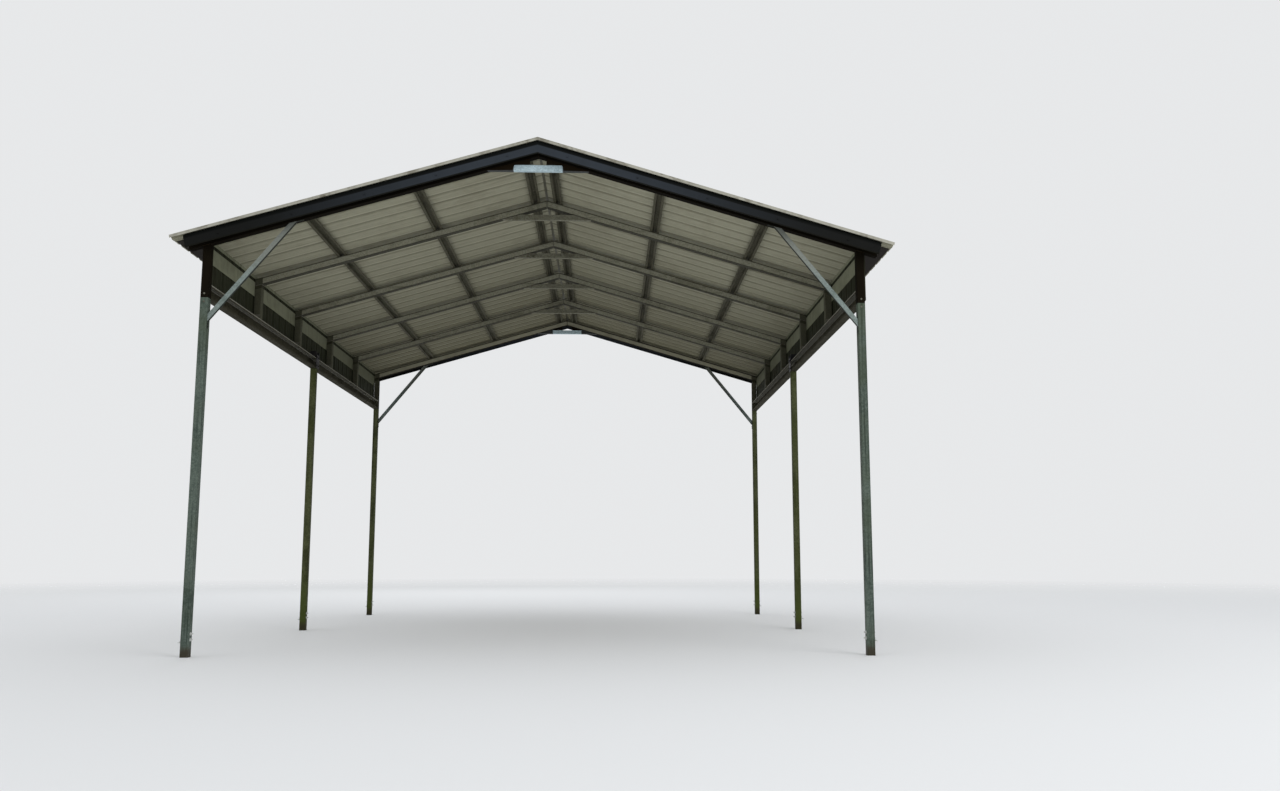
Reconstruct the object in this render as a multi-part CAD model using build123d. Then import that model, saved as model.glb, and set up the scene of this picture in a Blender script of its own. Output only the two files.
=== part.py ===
from build123d import *
import math
import os

# Open-sided carport of galvanised square tube with a gable roof of ribbed sheet.
# Six A-shaped bows with short stubs stand on two header rails, and three posts a
# side carry the rails. X runs across the bay, Y from the front gable to the rear
# one and Z up from the lowest foot. The origin is on the ground at the middle of
# the frame.

# Frame, outer faces of the tubes
FRAME_WIDTH = 5486.0
FRAME_LENGTH = 6096.0
BAY_COUNT = 5
TUBE_SIZE = 63.5
TUBE_CORNER = 4.0

# Posts from the lowest foot, stubs above them to the rafters, and the roof's slope
POST_HEIGHT = 2890.0
STUB_HEIGHT = 455.0
ROOF_SLOPE = 0.295

# Tails of the gable bows beyond the outer faces of the stubs
TAIL_REACH = 112.0

# Header rail, a lipped channel open towards the bay
RAIL_HEIGHT = 120.0
RAIL_LIP = 18.0
RAIL_WALL = 3.0

# Bracket that ties the middle post to the header rail
BRACKET_WIDTH = 104.0
BRACKET_BELOW_TOP = 116.0
BRACKET_ABOVE_RAIL = 36.0
BRACKET_WALL = 8.0
BRACKET_CORNER = 6.0

# Peak braces between the two rafters of a bow
PEAK_BRACE_DROP = 225.0
PEAK_BRACE_HEIGHT = 50.0
PEAK_BRACE_DEPTH = 38.0

# Knee braces between the gable bows and their posts
KNEE_DROP_BELOW_STUB = 170.0
KNEE_RUN = 660.0
KNEE_WIDTH = 41.0
KNEE_DEPTH = 21.0

# Wall and setback of both kinds of brace
BRACE_WALL = 3.0
BRACE_SETBACK = 8.0

# Purlins, hat channels that lie on the rafters under the sheets
PURLIN_HEIGHT = 32.0
PURLIN_WIDTH = 90.0
PURLIN_CROWN = 38.0
PURLIN_SKIRT = 50.0
PURLIN_WALL = 2.5
PURLIN_PLACES = {"ridge": 115.0, "inner": 1045.0, "outer": 1945.0}

# Ribbed sheet of the roof and of the side panels
SHEET_WALL = 1.6
RIB_HEIGHT = 19.0
RIB_BASE = 50.0
RIB_TOP = 20.0
RIB_PITCH = 184.0
FLUTE_HEIGHT = 3.0
FLUTE_BASE = 22.0
FLUTE_TOP = 10.0
FLUTE_PLACES = (0.36, 0.64)

# Roof sheets beyond the frame
GABLE_OVERHANG = 103.0
EAVE_REACH = 231.0
RIDGE_GAP = 12.0

# Ridge cap on top of the ribs
CAP_WING = 175.0
CAP_WALL = 1.6

# Rake trim at the two gables
TRIM_FACE = 78.0
TRIM_NECK = 30.0
TRIM_STEP = 14.0
TRIM_WALL = 2.0
TRIM_SETBACK = 3.0
TRIM_FLANGE = 30.0
TRIM_END_REACH = 133.0

# Side panels outside the stubs, and the light strip behind their upper part
STRIP_WALL = 3.0
STRIP_HEIGHT = 136.0
STRIP_DROP = 64.0
PANEL_TOP_GAP = 0.6
PANEL_ABOVE_RAIL_FOOT = 42.0
PANEL_FLANGE = 24.0
PANEL_END_PAST_RIBS = 0.8
PANEL_END_WALL = 2.5

# Derived places
HALF_WIDTH = FRAME_WIDTH / 2
HALF_LENGTH = FRAME_LENGTH / 2
STUB_INNER = HALF_WIDTH - TUBE_SIZE
PITCH_ANGLE = math.atan(ROOF_SLOPE)
PITCH_DEGREES = math.degrees(PITCH_ANGLE)
PITCH_COS = math.cos(PITCH_ANGLE)
RAFTER_FOOT_APEX = POST_HEIGHT + STUB_HEIGHT + ROOF_SLOPE * STUB_INNER
RAFTER_TOP_APEX = RAFTER_FOOT_APEX + TUBE_SIZE / PITCH_COS
SHEET_APEX_HEIGHT = RAFTER_TOP_APEX + PURLIN_HEIGHT / PITCH_COS
RAIL_TOP = POST_HEIGHT + RAIL_HEIGHT
BAY_LENGTH = (FRAME_LENGTH - TUBE_SIZE) / BAY_COUNT
SIDES = {"left": -1, "right": 1}

# Distance under which two places count as the same
SAME_PLACE = 0.001


def roof_line(apex_height, reach):
    """Height, at a reach from the middle, of a line that slopes as the roof."""
    return apex_height - ROOF_SLOPE * reach


def bow_start(index):
    """Y of the front face of a bow, counted from the front gable."""
    return -HALF_LENGTH + index * BAY_LENGTH


def upright_prism(points, y_start, depth):
    """Solid with an outline in the XZ plane, drawn along Y."""
    outline = Polyline(*points, close=True)
    profile = make_face(Plane.XZ * outline)
    return Pos(0, y_start, 0) * extrude(profile, amount=depth, dir=(0, 1, 0))


def mirrored(shape, side):
    """The shape itself for the right side, its mirror image for the left."""
    return shape if side > 0 else mirror(shape, about=Plane.YZ)


def rounded_tube_edges(shape, y_start):
    """Rounds the long edges of a frame whose front face lies at y_start."""
    edges = [
        edge
        for face_y in (y_start, y_start + TUBE_SIZE)
        for edge in shape.edges()
        if abs(edge.bounding_box().min.Y - face_y) < SAME_PLACE
        and abs(edge.bounding_box().max.Y - face_y) < SAME_PLACE
    ]
    return fillet(edges, TUBE_CORNER)


def make_bow(index):
    """Two rafters and two stubs, welded as one frame."""
    is_gable = index in (0, BAY_COUNT)
    stub_foot = POST_HEIGHT if is_gable else RAIL_TOP
    tail_end = HALF_WIDTH + TAIL_REACH if is_gable else HALF_WIDTH
    right_half = [
        (0, RAFTER_TOP_APEX),
        (tail_end, roof_line(RAFTER_TOP_APEX, tail_end)),
        (tail_end, roof_line(RAFTER_FOOT_APEX, tail_end)),
        (HALF_WIDTH, roof_line(RAFTER_FOOT_APEX, HALF_WIDTH)),
        (HALF_WIDTH, stub_foot),
        (STUB_INNER, stub_foot),
        (STUB_INNER, roof_line(RAFTER_FOOT_APEX, STUB_INNER)),
        (0, RAFTER_FOOT_APEX),
    ]
    if not is_gable:
        del right_half[2:4]
    left_half = [(-x, z) for x, z in reversed(right_half) if x > 0]
    y_start = bow_start(index)
    frame = upright_prism(right_half + left_half, y_start, TUBE_SIZE)
    return rounded_tube_edges(frame, y_start)


def make_post(y_start):
    """Square post of the right side, from the lowest ground to its top."""
    post = Pos(HALF_WIDTH - TUBE_SIZE / 2, y_start + TUBE_SIZE / 2, POST_HEIGHT / 2) * Box(
        TUBE_SIZE, TUBE_SIZE, POST_HEIGHT
    )
    return fillet(post.edges().filter_by(Axis.Z), TUBE_CORNER)


def make_rail():
    """Lipped channel along the feet of the stubs of the right side."""
    inner = STUB_INNER
    outer = HALF_WIDTH
    foot = POST_HEIGHT
    top = RAIL_TOP
    points = [
        (inner, foot),
        (outer, foot),
        (outer, top),
        (inner, top),
        (inner, top - RAIL_LIP),
        (inner + RAIL_WALL, top - RAIL_LIP),
        (inner + RAIL_WALL, top - RAIL_WALL),
        (outer - RAIL_WALL, top - RAIL_WALL),
        (outer - RAIL_WALL, foot + RAIL_WALL),
        (inner + RAIL_WALL, foot + RAIL_WALL),
        (inner + RAIL_WALL, foot + RAIL_LIP),
        (inner, foot + RAIL_LIP),
    ]
    start = -HALF_LENGTH + TUBE_SIZE
    return upright_prism(points, start, FRAME_LENGTH - 2 * TUBE_SIZE)


def make_bracket():
    """Plate over the open side of the rail at the middle post."""
    foot = RAIL_TOP - BRACKET_BELOW_TOP
    top = RAIL_TOP + BRACKET_ABOVE_RAIL
    centre = Pos(STUB_INNER - BRACKET_WALL / 2, 0, (foot + top) / 2)
    plate = centre * Box(BRACKET_WALL, BRACKET_WIDTH, top - foot)
    return fillet(plate.edges().filter_by(Axis.X), BRACKET_CORNER)


def make_peak_brace(index):
    """Channel between the rafters of a bow, cut to their slope."""
    foot = SHEET_APEX_HEIGHT - PEAK_BRACE_DROP
    top = foot + PEAK_BRACE_HEIGHT

    def half_width_at(height):
        return (RAFTER_FOOT_APEX - height) / ROOF_SLOPE

    def slab(lower, upper, y_from, depth):
        low, high = half_width_at(lower), half_width_at(upper)
        points = [(-low, lower), (low, lower), (high, upper), (-high, upper)]
        return upright_prism(points, y_from, depth)

    web_start = bow_start(index) + BRACE_SETBACK
    web = slab(foot, top, web_start, BRACE_WALL)
    lower_flange = slab(foot, foot + BRACE_WALL, web_start, PEAK_BRACE_DEPTH)
    upper_flange = slab(top - BRACE_WALL, top, web_start, PEAK_BRACE_DEPTH)
    return web + lower_flange + upper_flange


def make_knee_brace(y_from, towards_rear):
    """Channel from the right post up to the right rafter of a gable bow."""
    low = (STUB_INNER, POST_HEIGHT - KNEE_DROP_BELOW_STUB)
    high_reach = STUB_INNER - KNEE_RUN
    high = (high_reach, roof_line(RAFTER_FOOT_APEX, high_reach))
    length = math.dist(low, high)
    along = ((high[0] - low[0]) / length, (high[1] - low[1]) / length)
    across = (-along[1], along[0])

    def point_on_post(offset):
        run = -offset * across[0] / along[0]
        return (low[0], low[1] + offset * across[1] + run * along[1])

    def point_on_rafter(offset):
        start = (low[0] + offset * across[0], low[1] + offset * across[1])
        height_left = roof_line(RAFTER_FOOT_APEX, start[0]) - start[1]
        run = height_left / (along[1] + ROOF_SLOPE * along[0])
        return (start[0] + run * along[0], start[1] + run * along[1])

    def strip(offset_from, offset_to, depth):
        points = [
            point_on_post(offset_from),
            point_on_post(offset_to),
            point_on_rafter(offset_to),
            point_on_rafter(offset_from),
        ]
        start = y_from if towards_rear else y_from - depth
        return upright_prism(points, start, depth)

    half = KNEE_WIDTH / 2
    web = strip(-half, half, BRACE_WALL)
    lower_flange = strip(-half, -half + BRACE_WALL, KNEE_DEPTH)
    upper_flange = strip(half - BRACE_WALL, half, KNEE_DEPTH)
    return web + lower_flange + upper_flange


def slope_frame(side, apex_height):
    """Frame on a roof slope: its x runs down the slope, its z out of the roof."""
    tilt = PITCH_DEGREES if side > 0 else 180 - PITCH_DEGREES
    return Pos(0, 0, apex_height) * Rot(0, tilt, 0)


def slope_prism(points, side, apex_height, start, length):
    """Solid with an outline across a slope (y along the ridge), drawn down it."""
    outward = 1 if side > 0 else -1
    outline = [(0.0, y, z * outward) for y, z in points]
    face = make_face(Polyline(*outline, close=True))
    body = Pos(start, 0, 0) * extrude(face, amount=length, dir=(1, 0, 0))
    return slope_frame(side, apex_height) * body


def ridge_prism(points, side, apex_height, start, length):
    """Solid with an outline down a slope (x down it, z out of it), drawn along Y."""
    outward = 1 if side > 0 else -1
    outline = [(x, start, z * outward) for x, z in points]
    face = make_face(Polyline(*outline, close=True))
    body = extrude(face, amount=length, dir=(0, 1, 0))
    return slope_frame(side, apex_height) * body


def make_purlin(place, side):
    """Hat channel on the rafters, its crown under the sheets."""
    down_slope = place / PITCH_COS
    half = PURLIN_WIDTH / 2
    skirt = PURLIN_SKIRT / 2
    crown = PURLIN_CROWN / 2
    inner_skirt = skirt - PURLIN_WALL
    inner_crown = crown - PURLIN_WALL
    foot = -PURLIN_HEIGHT
    section = [
        (-half, foot),
        (-inner_skirt, foot),
        (-inner_crown, -PURLIN_WALL),
        (inner_crown, -PURLIN_WALL),
        (inner_skirt, foot),
        (half, foot),
        (half, foot + PURLIN_WALL),
        (skirt, foot + PURLIN_WALL),
        (crown, 0),
        (-crown, 0),
        (-skirt, foot + PURLIN_WALL),
        (-half, foot + PURLIN_WALL),
    ]
    points = [(down_slope + x, z) for x, z in section]
    reach = GABLE_OVERHANG - TRIM_SETBACK - TRIM_STEP - TRIM_FLANGE
    start = -HALF_LENGTH - reach
    return ridge_prism(points, side, SHEET_APEX_HEIGHT, start, FRAME_LENGTH + 2 * reach)


def ribbed_outline(start, length):
    """Closed outline of a ribbed sheet: (run, height) pairs, flat side at 0."""
    bay_total = max(1, round((length - RIB_BASE) / RIB_PITCH))
    pitch = (length - RIB_BASE) / bay_total
    shoulder = (RIB_BASE - RIB_TOP) / 2
    flute_shoulder = (FLUTE_BASE - FLUTE_TOP) / 2
    line = []
    for number in range(bay_total + 1):
        foot = start + number * pitch
        line += [
            (foot, 0.0),
            (foot + shoulder, RIB_HEIGHT),
            (foot + RIB_BASE - shoulder, RIB_HEIGHT),
            (foot + RIB_BASE, 0.0),
        ]
        if number == bay_total:
            continue
        pan = pitch - RIB_BASE
        for place in FLUTE_PLACES:
            flute = foot + RIB_BASE + pan * place - FLUTE_BASE / 2
            line += [
                (flute, 0.0),
                (flute + flute_shoulder, FLUTE_HEIGHT),
                (flute + FLUTE_BASE - flute_shoulder, FLUTE_HEIGHT),
                (flute + FLUTE_BASE, 0.0),
            ]
    outer = [(run, height + SHEET_WALL) for run, height in reversed(line)]
    return line + outer


def make_roof_sheet(side):
    """Ribbed sheet of one slope, its ribs running from ridge to eave."""
    length = FRAME_LENGTH + 2 * GABLE_OVERHANG
    outline = ribbed_outline(-length / 2, length)
    start = RIDGE_GAP / PITCH_COS
    end = (HALF_WIDTH + EAVE_REACH) / PITCH_COS
    return slope_prism(outline, side, SHEET_APEX_HEIGHT, start, end - start)


def make_ridge_cap():
    """Folded cap over the two top edges of the sheets, lying on the ribs."""
    rib_top_apex = SHEET_APEX_HEIGHT + (RIB_HEIGHT + SHEET_WALL) / PITCH_COS
    outer_apex = rib_top_apex + CAP_WALL / PITCH_COS
    wing = CAP_WING * PITCH_COS
    right_half = [
        (0, outer_apex),
        (wing, roof_line(outer_apex, wing)),
        (wing, roof_line(rib_top_apex, wing)),
        (0, rib_top_apex),
    ]
    left_half = [(-x, z) for x, z in reversed(right_half) if x > 0]
    length = FRAME_LENGTH + 2 * GABLE_OVERHANG
    return upright_prism(right_half + left_half, -length / 2, length)


def make_rake_trim(side, is_front):
    """Folded trim under the gable edge of one sheet, cut upright at the ridge."""
    face = HALF_LENGTH + GABLE_OVERHANG - TRIM_SETBACK
    neck = face - TRIM_STEP
    neck_foot = -TRIM_NECK
    face_foot = -TRIM_NECK - TRIM_FACE
    section = [
        (neck - TRIM_FLANGE, 0.0),
        (neck, 0.0),
        (neck, neck_foot),
        (face, neck_foot),
        (face, face_foot),
        (face - TRIM_WALL, face_foot),
        (face - TRIM_WALL, neck_foot - TRIM_WALL),
        (neck - TRIM_WALL, neck_foot - TRIM_WALL),
        (neck - TRIM_WALL, -TRIM_WALL),
        (neck - TRIM_FLANGE, -TRIM_WALL),
    ]
    towards = -1 if is_front else 1
    points = [(towards * y, z) for y, z in section]
    end = (HALF_WIDTH + TRIM_END_REACH) / PITCH_COS
    trim = slope_prism(points, side, SHEET_APEX_HEIGHT, 0, end)
    kept = Pos(side * FRAME_WIDTH / 2, 0, SHEET_APEX_HEIGHT) * Box(
        FRAME_WIDTH, 2 * FRAME_LENGTH, FRAME_WIDTH
    )
    return trim & kept


def make_side_panel():
    """Ribbed panel outside the stubs of the right side, with its end trims."""
    inner = HALF_WIDTH + STRIP_WALL
    outer = inner + SHEET_WALL + RIB_HEIGHT
    foot = POST_HEIGHT + PANEL_ABOVE_RAIL_FOOT
    top = roof_line(SHEET_APEX_HEIGHT, outer) - PANEL_TOP_GAP
    length = FRAME_LENGTH - 2 * TUBE_SIZE
    outline = ribbed_outline(-length / 2, length)
    points = [(inner + height, run) for run, height in outline]
    face = make_face(Polyline(*points, close=True))
    panel = Pos(0, 0, foot) * extrude(face, amount=top - foot, dir=(0, 0, 1))
    flange = Pos(HALF_WIDTH + STRIP_WALL / 2, 0, foot + PANEL_FLANGE / 2) * Box(
        STRIP_WALL, length, PANEL_FLANGE
    )
    end_outer = outer + PANEL_END_PAST_RIBS
    end_width = end_outer - HALF_WIDTH
    end_top = roof_line(SHEET_APEX_HEIGHT, end_outer) - PANEL_TOP_GAP
    end_height = end_top - foot
    end_place = length / 2 - PANEL_END_WALL / 2
    body = panel + flange
    for end in (-1, 1):
        body += Pos(HALF_WIDTH + end_width / 2, end * end_place, foot + end_height / 2) * Box(
            end_width, PANEL_END_WALL, end_height
        )
    return body


def make_eave_strip():
    """Plain strip between the stubs of the right side and their panel."""
    top = roof_line(SHEET_APEX_HEIGHT, HALF_WIDTH) - STRIP_DROP
    length = FRAME_LENGTH - 2 * TUBE_SIZE - 2 * PANEL_END_WALL
    return Pos(HALF_WIDTH + STRIP_WALL / 2, 0, top - STRIP_HEIGHT / 2) * Box(
        STRIP_WALL, length, STRIP_HEIGHT
    )


def make_pieces():
    """All pieces by name."""
    pieces = {}
    for index in range(BAY_COUNT + 1):
        if index == 0:
            bow_name = "front"
        elif index == BAY_COUNT:
            bow_name = "rear"
        else:
            bow_name = f"inner_{index}"
        pieces[f"{bow_name}_bow"] = make_bow(index)
        pieces[f"{bow_name}_peak_brace"] = make_peak_brace(index)

    post_starts = {
        "front": -HALF_LENGTH,
        "middle": -TUBE_SIZE / 2,
        "rear": HALF_LENGTH - TUBE_SIZE,
    }
    front_knee = make_knee_brace(-HALF_LENGTH + BRACE_SETBACK, True)
    rear_knee = make_knee_brace(HALF_LENGTH - BRACE_SETBACK, False)
    for side_name, side in SIDES.items():
        for post_name, y_start in post_starts.items():
            pieces[f"{post_name}_{side_name}_post"] = mirrored(make_post(y_start), side)
        pieces[f"front_{side_name}_knee_brace"] = mirrored(front_knee, side)
        pieces[f"rear_{side_name}_knee_brace"] = mirrored(rear_knee, side)
        pieces[f"{side_name}_header_rail"] = mirrored(make_rail(), side)
        pieces[f"{side_name}_middle_bracket"] = mirrored(make_bracket(), side)
        pieces[f"{side_name}_side_panel"] = mirrored(make_side_panel(), side)
        pieces[f"{side_name}_eave_strip"] = mirrored(make_eave_strip(), side)
        pieces[f"{side_name}_roof_sheet"] = make_roof_sheet(side)
        pieces[f"front_{side_name}_rake_trim"] = make_rake_trim(side, True)
        pieces[f"rear_{side_name}_rake_trim"] = make_rake_trim(side, False)
        for purlin_name, place in PURLIN_PLACES.items():
            pieces[f"{side_name}_{purlin_name}_purlin"] = make_purlin(place, side)
    pieces["ridge_cap"] = make_ridge_cap()
    return pieces


os.makedirs("parts", exist_ok=True)
for piece_name, piece in make_pieces().items():
    export_step(piece, f"parts/{piece_name}.step")
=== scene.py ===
"""Looks of an open-sided steel carport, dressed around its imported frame.

The frame's own solids keep their shape and get their finishes here. Screws, bolts,
weld beads, laps, hems, clips, closures and anchors are surfaces worked out with
numpy, in metres and in the frame's own axes: X across the bay, Y from the front
gable to the rear one, and Z up from the lowest foot.
"""

import logging
import math
from abc import ABC, abstractmethod
from dataclasses import dataclass
from enum import Enum
from typing import Any, Callable, Optional, Union

import bpy
import numpy as np
from mathutils import Euler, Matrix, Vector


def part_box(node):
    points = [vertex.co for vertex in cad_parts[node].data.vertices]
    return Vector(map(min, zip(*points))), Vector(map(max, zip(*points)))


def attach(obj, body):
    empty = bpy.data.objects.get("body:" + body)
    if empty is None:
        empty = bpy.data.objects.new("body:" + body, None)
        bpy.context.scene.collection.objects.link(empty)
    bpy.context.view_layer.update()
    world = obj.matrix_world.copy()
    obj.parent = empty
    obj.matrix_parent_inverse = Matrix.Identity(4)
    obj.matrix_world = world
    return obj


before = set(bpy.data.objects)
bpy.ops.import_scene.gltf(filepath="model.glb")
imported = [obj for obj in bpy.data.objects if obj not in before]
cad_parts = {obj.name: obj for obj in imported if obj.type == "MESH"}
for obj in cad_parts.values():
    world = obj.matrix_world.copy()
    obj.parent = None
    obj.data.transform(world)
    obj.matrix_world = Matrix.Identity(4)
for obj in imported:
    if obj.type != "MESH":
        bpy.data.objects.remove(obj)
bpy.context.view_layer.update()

LOG = logging.getLogger("carport")
BODY = "root"
SEED = 41

Colour = tuple[float, float, float]
Triple = tuple[float, float, float]
Socket = bpy.types.NodeSocket
Feed = Union[Socket, float, tuple]

BOW_NAMES = ("front", "inner_1", "inner_2", "inner_3", "inner_4", "rear")
INNER_BOW_NAMES = BOW_NAMES[1:-1]
PURLIN_NAMES = ("ridge", "inner", "outer")
POST_NAMES = ("front", "middle", "rear")

# Sizes of the frame's sections that its boxes don't give
PURLIN_HEIGHT = 0.032
PURLIN_WALL = 0.0025
PURLIN_FLANGE_PLACE = 0.035
SHEET_WALL = 0.0016
RIB_HEIGHT = 0.019
RIB_BASE = 0.050
RIB_TOP = 0.020
RIB_PITCH = 0.184
CAP_WING = 0.175
CAP_WALL = 0.0016
TRIM_NECK = 0.030
TRIM_FACE = 0.078
TRIM_STEP = 0.014
PANEL_GAP = 0.003
ROOF_SLOPE = 0.295

# Clearance between a dressed piece and the surface that it lies on
SKIN_GAP = 0.0003

# Distance of a sheet's screws from the ribs beside them
SCREW_BESIDE_RIB = 0.024

# Turn of a hexagon from one flat to the next, and the least turn that stays sharp
SIXTH_TURN = math.pi / 3
SHARP_TURN = math.radians(35.0)

# Both ways from a middle, and how near to an axis a direction counts as along it
BOTH_WAYS = np.array([-1.0, 1.0])
NEARLY_ALONG = 0.9

# Axes of the frame
LEFTWARDS = np.array([-1.0, 0.0, 0.0])
RIGHTWARDS = np.array([1.0, 0.0, 0.0])
FRONTWARDS = np.array([0.0, -1.0, 0.0])
REARWARDS = np.array([0.0, 1.0, 0.0])
UPWARDS = np.array([0.0, 0.0, 1.0])


class Side(Enum):
    """The two long sides of the carport, by the sign of X."""

    LEFT = -1
    RIGHT = 1

    @property
    def label(self) -> str:
        """The side's word in a piece's name."""
        return self.name.lower()


class Gable(Enum):
    """The two gable ends, by the sign of Y."""

    FRONT = -1
    REAR = 1

    @property
    def label(self) -> str:
        """The gable's word in a piece's name."""
        return self.name.lower()


class Outline(Enum):
    """Outlines that a turned shape can take."""

    ROUND = "round"
    HEXAGON = "hexagon"
    ROUNDED_SQUARE = "rounded square"

    def reach(self, angles: np.ndarray) -> np.ndarray:
        """How far the outline lies from its centre, with its nearest point at one.

        A hexagon's reach is one over the cosine of the angle from its nearest flat.
        A rounded square's is the eighth-power superellipse.

        Args:
            angles: angles about the centre, in radians.

        Returns:
            The reach at each angle.
        """
        if self is Outline.HEXAGON:
            return 1.0 / np.cos(np.mod(angles, SIXTH_TURN) - SIXTH_TURN / 2)
        if self is Outline.ROUNDED_SQUARE:
            power = 8.0
            total = np.abs(np.cos(angles)) ** power + np.abs(np.sin(angles)) ** power
            return total ** (-1.0 / power)
        return np.ones_like(angles)


@dataclass(frozen=True)
class Shell:
    """A closed surface: points with quads and triangles over them."""

    points: np.ndarray
    quads: np.ndarray
    triangles: np.ndarray

    @staticmethod
    def joined(shells: list["Shell"]) -> "Shell":
        """One shell that holds several.

        Args:
            shells: the shells, in order.

        Returns:
            The joined shell.
        """
        counts = [len(shell.points) for shell in shells]
        starts = np.concatenate([[0], np.cumsum(counts)[:-1]])
        return Shell(
            np.concatenate([shell.points for shell in shells]),
            np.concatenate([shell.quads + start for shell, start in zip(shells, starts)]),
            np.concatenate([shell.triangles + start for shell, start in zip(shells, starts)]),
        )

    def volume(self) -> float:
        """Signed volume, from the sum of each face's box product over six.

        Returns:
            The volume.
        """
        halves = [self.triangles, self.quads[:, [0, 1, 2]], self.quads[:, [0, 2, 3]]]
        corners = self.points[np.concatenate(halves)]
        boxes = np.einsum("ij,ij->i", corners[:, 0], np.cross(corners[:, 1], corners[:, 2]))
        return float(boxes.sum() / 6.0)

    def turned_over(self) -> "Shell":
        """The same surface with its faces the other way round."""
        return Shell(self.points, self.quads[:, ::-1], self.triangles[:, ::-1])

    def outward(self) -> "Shell":
        """The same surface with its faces outwards."""
        return self if self.volume() > 0 else self.turned_over()

    def mirrored(self, axis: int) -> "Shell":
        """Mirror image through the plane square to an axis at the origin.

        Args:
            axis: 0 for X, 1 for Y.

        Returns:
            The mirrored shell, with its faces outwards.
        """
        signs = np.ones(3)
        signs[axis] = -1.0
        return Shell(self.points * signs, self.quads, self.triangles).turned_over()

    def on(self, side: Side = Side.RIGHT, gable: Gable = Gable.FRONT) -> "Shell":
        """A shell made for the right side and the front gable, on another side or gable.

        Args:
            side: the side that it goes to.
            gable: the gable that it goes to.

        Returns:
            The shell there.
        """
        placed = self.mirrored(0) if side is Side.LEFT else self
        return placed.mirrored(1) if gable is Gable.REAR else placed

    def moved(self, offset: Triple) -> "Shell":
        """The same surface, moved by an offset."""
        return Shell(self.points + np.array(offset), self.quads, self.triangles)

    def stamped(self, places: np.ndarray) -> "Shell":
        """Copies of the shell, each moved by a matrix.

        Args:
            places: matrices of shape (n, 4, 4).

        Returns:
            One shell with all the copies.
        """
        padded = np.hstack([self.points, np.ones((len(self.points), 1))])
        points = np.einsum("nij,pj->npi", places, padded)[:, :, :3].reshape(-1, 3)
        shift = (np.arange(len(places)) * len(self.points))[:, None, None]
        quads = (self.quads[None] + shift).reshape(-1, 4)
        triangles = (self.triangles[None] + shift).reshape(-1, 3)
        return Shell(points, quads, triangles)


def grid_quads(rows: int, columns: int) -> np.ndarray:
    """Quads over a grid of points whose columns close on themselves.

    Args:
        rows: stations along the shape.
        columns: points round each station.

    Returns:
        Indices of shape (n, 4).
    """
    row = np.arange(rows - 1)[:, None]
    column = np.arange(columns)[None, :]
    following = (column + 1) % columns
    corners = [
        row * columns + column,
        row * columns + following,
        (row + 1) * columns + following,
        (row + 1) * columns + column,
    ]
    return np.stack(corners, axis=-1).reshape(-1, 4)


def round_shell(points: np.ndarray) -> Shell:
    """Closed shell over a grid of rings, with a fan of triangles over each end.

    Args:
        points: rings of shape (rows, columns, 3).

    Returns:
        The shell, with its faces outwards.
    """
    rows, columns = points.shape[:2]
    centres = points[[0, -1]].mean(axis=1)
    ring = np.arange(columns)
    following = (ring + 1) % columns
    first, last = rows * columns, rows * columns + 1
    top = (rows - 1) * columns
    low_fan = np.stack([np.full(columns, first), following, ring], axis=-1)
    high_fan = np.stack([np.full(columns, last), top + ring, top + following], axis=-1)
    return Shell(
        np.concatenate([points.reshape(-1, 3), centres]),
        grid_quads(rows, columns),
        np.concatenate([low_fan, high_fan]),
    ).outward()


def folded_shell(points: np.ndarray) -> Shell:
    """Closed shell of a folded sheet, with a strip of quads over each end.

    Each ring goes along the sheet's one face and back along its other, so its point
    number i faces the point of that number from the end.

    Args:
        points: rings of shape (rows, columns, 3).

    Returns:
        The shell, with its faces outwards.
    """
    rows, columns = points.shape[:2]
    near = np.arange(columns // 2 - 1)
    far = columns - 1 - near
    strip = np.stack([near, near + 1, far - 1, far], axis=-1)
    ends = np.concatenate([strip[:, ::-1], strip + (rows - 1) * columns])
    quads = np.concatenate([grid_quads(rows, columns), ends])
    return Shell(points.reshape(-1, 3), quads, np.zeros((0, 3), int)).outward()


def circle(count: int) -> np.ndarray:
    """Points of shape (count, 2) round the unit circle."""
    angles = np.linspace(0.0, 2 * math.pi, count, endpoint=False)
    return np.stack([np.cos(angles), np.sin(angles)], axis=-1)


def turned_shell(
    radii: np.ndarray, heights: np.ndarray, outlines: list[Outline], columns: int
) -> Shell:
    """Shape turned about Z.

    A point's distance from the axis is its station's radius times the reach of its
    station's outline at that angle.

    Args:
        radii: radius of each station.
        heights: height of each station.
        outlines: outline of each station.
        columns: points round the axis.

    Returns:
        The closed shell.
    """
    angles = np.linspace(0.0, 2 * math.pi, columns, endpoint=False)
    reach = radii[:, None] * np.stack([outline.reach(angles) for outline in outlines])
    levels = np.broadcast_to(heights[:, None], reach.shape)
    return round_shell(np.stack([reach * np.cos(angles), reach * np.sin(angles), levels], -1))


def folded_outline(line: np.ndarray, wall: float) -> np.ndarray:
    """Outline of a sheet folded along a line, with its wall on the line's left.

    Each point moves by the wall along the mean of its two segments' normals, divided
    by the cosine of half the turn, so that the wall is even.

    Args:
        line: points of shape (n, 2).
        wall: thickness of the sheet.

    Returns:
        Points of shape (2 n, 2), there and back.
    """
    steps = np.diff(line, axis=0)
    steps /= np.linalg.norm(steps, axis=1, keepdims=True)
    normals = np.stack([-steps[:, 1], steps[:, 0]], axis=-1)
    before = np.concatenate([normals[:1], normals])
    after = np.concatenate([normals, normals[-1:]])
    mean = before + after
    mitre = 2.0 * mean / np.sum(mean * mean, axis=1, keepdims=True)
    return np.concatenate([line, (line + wall * mitre)[::-1]])


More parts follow.
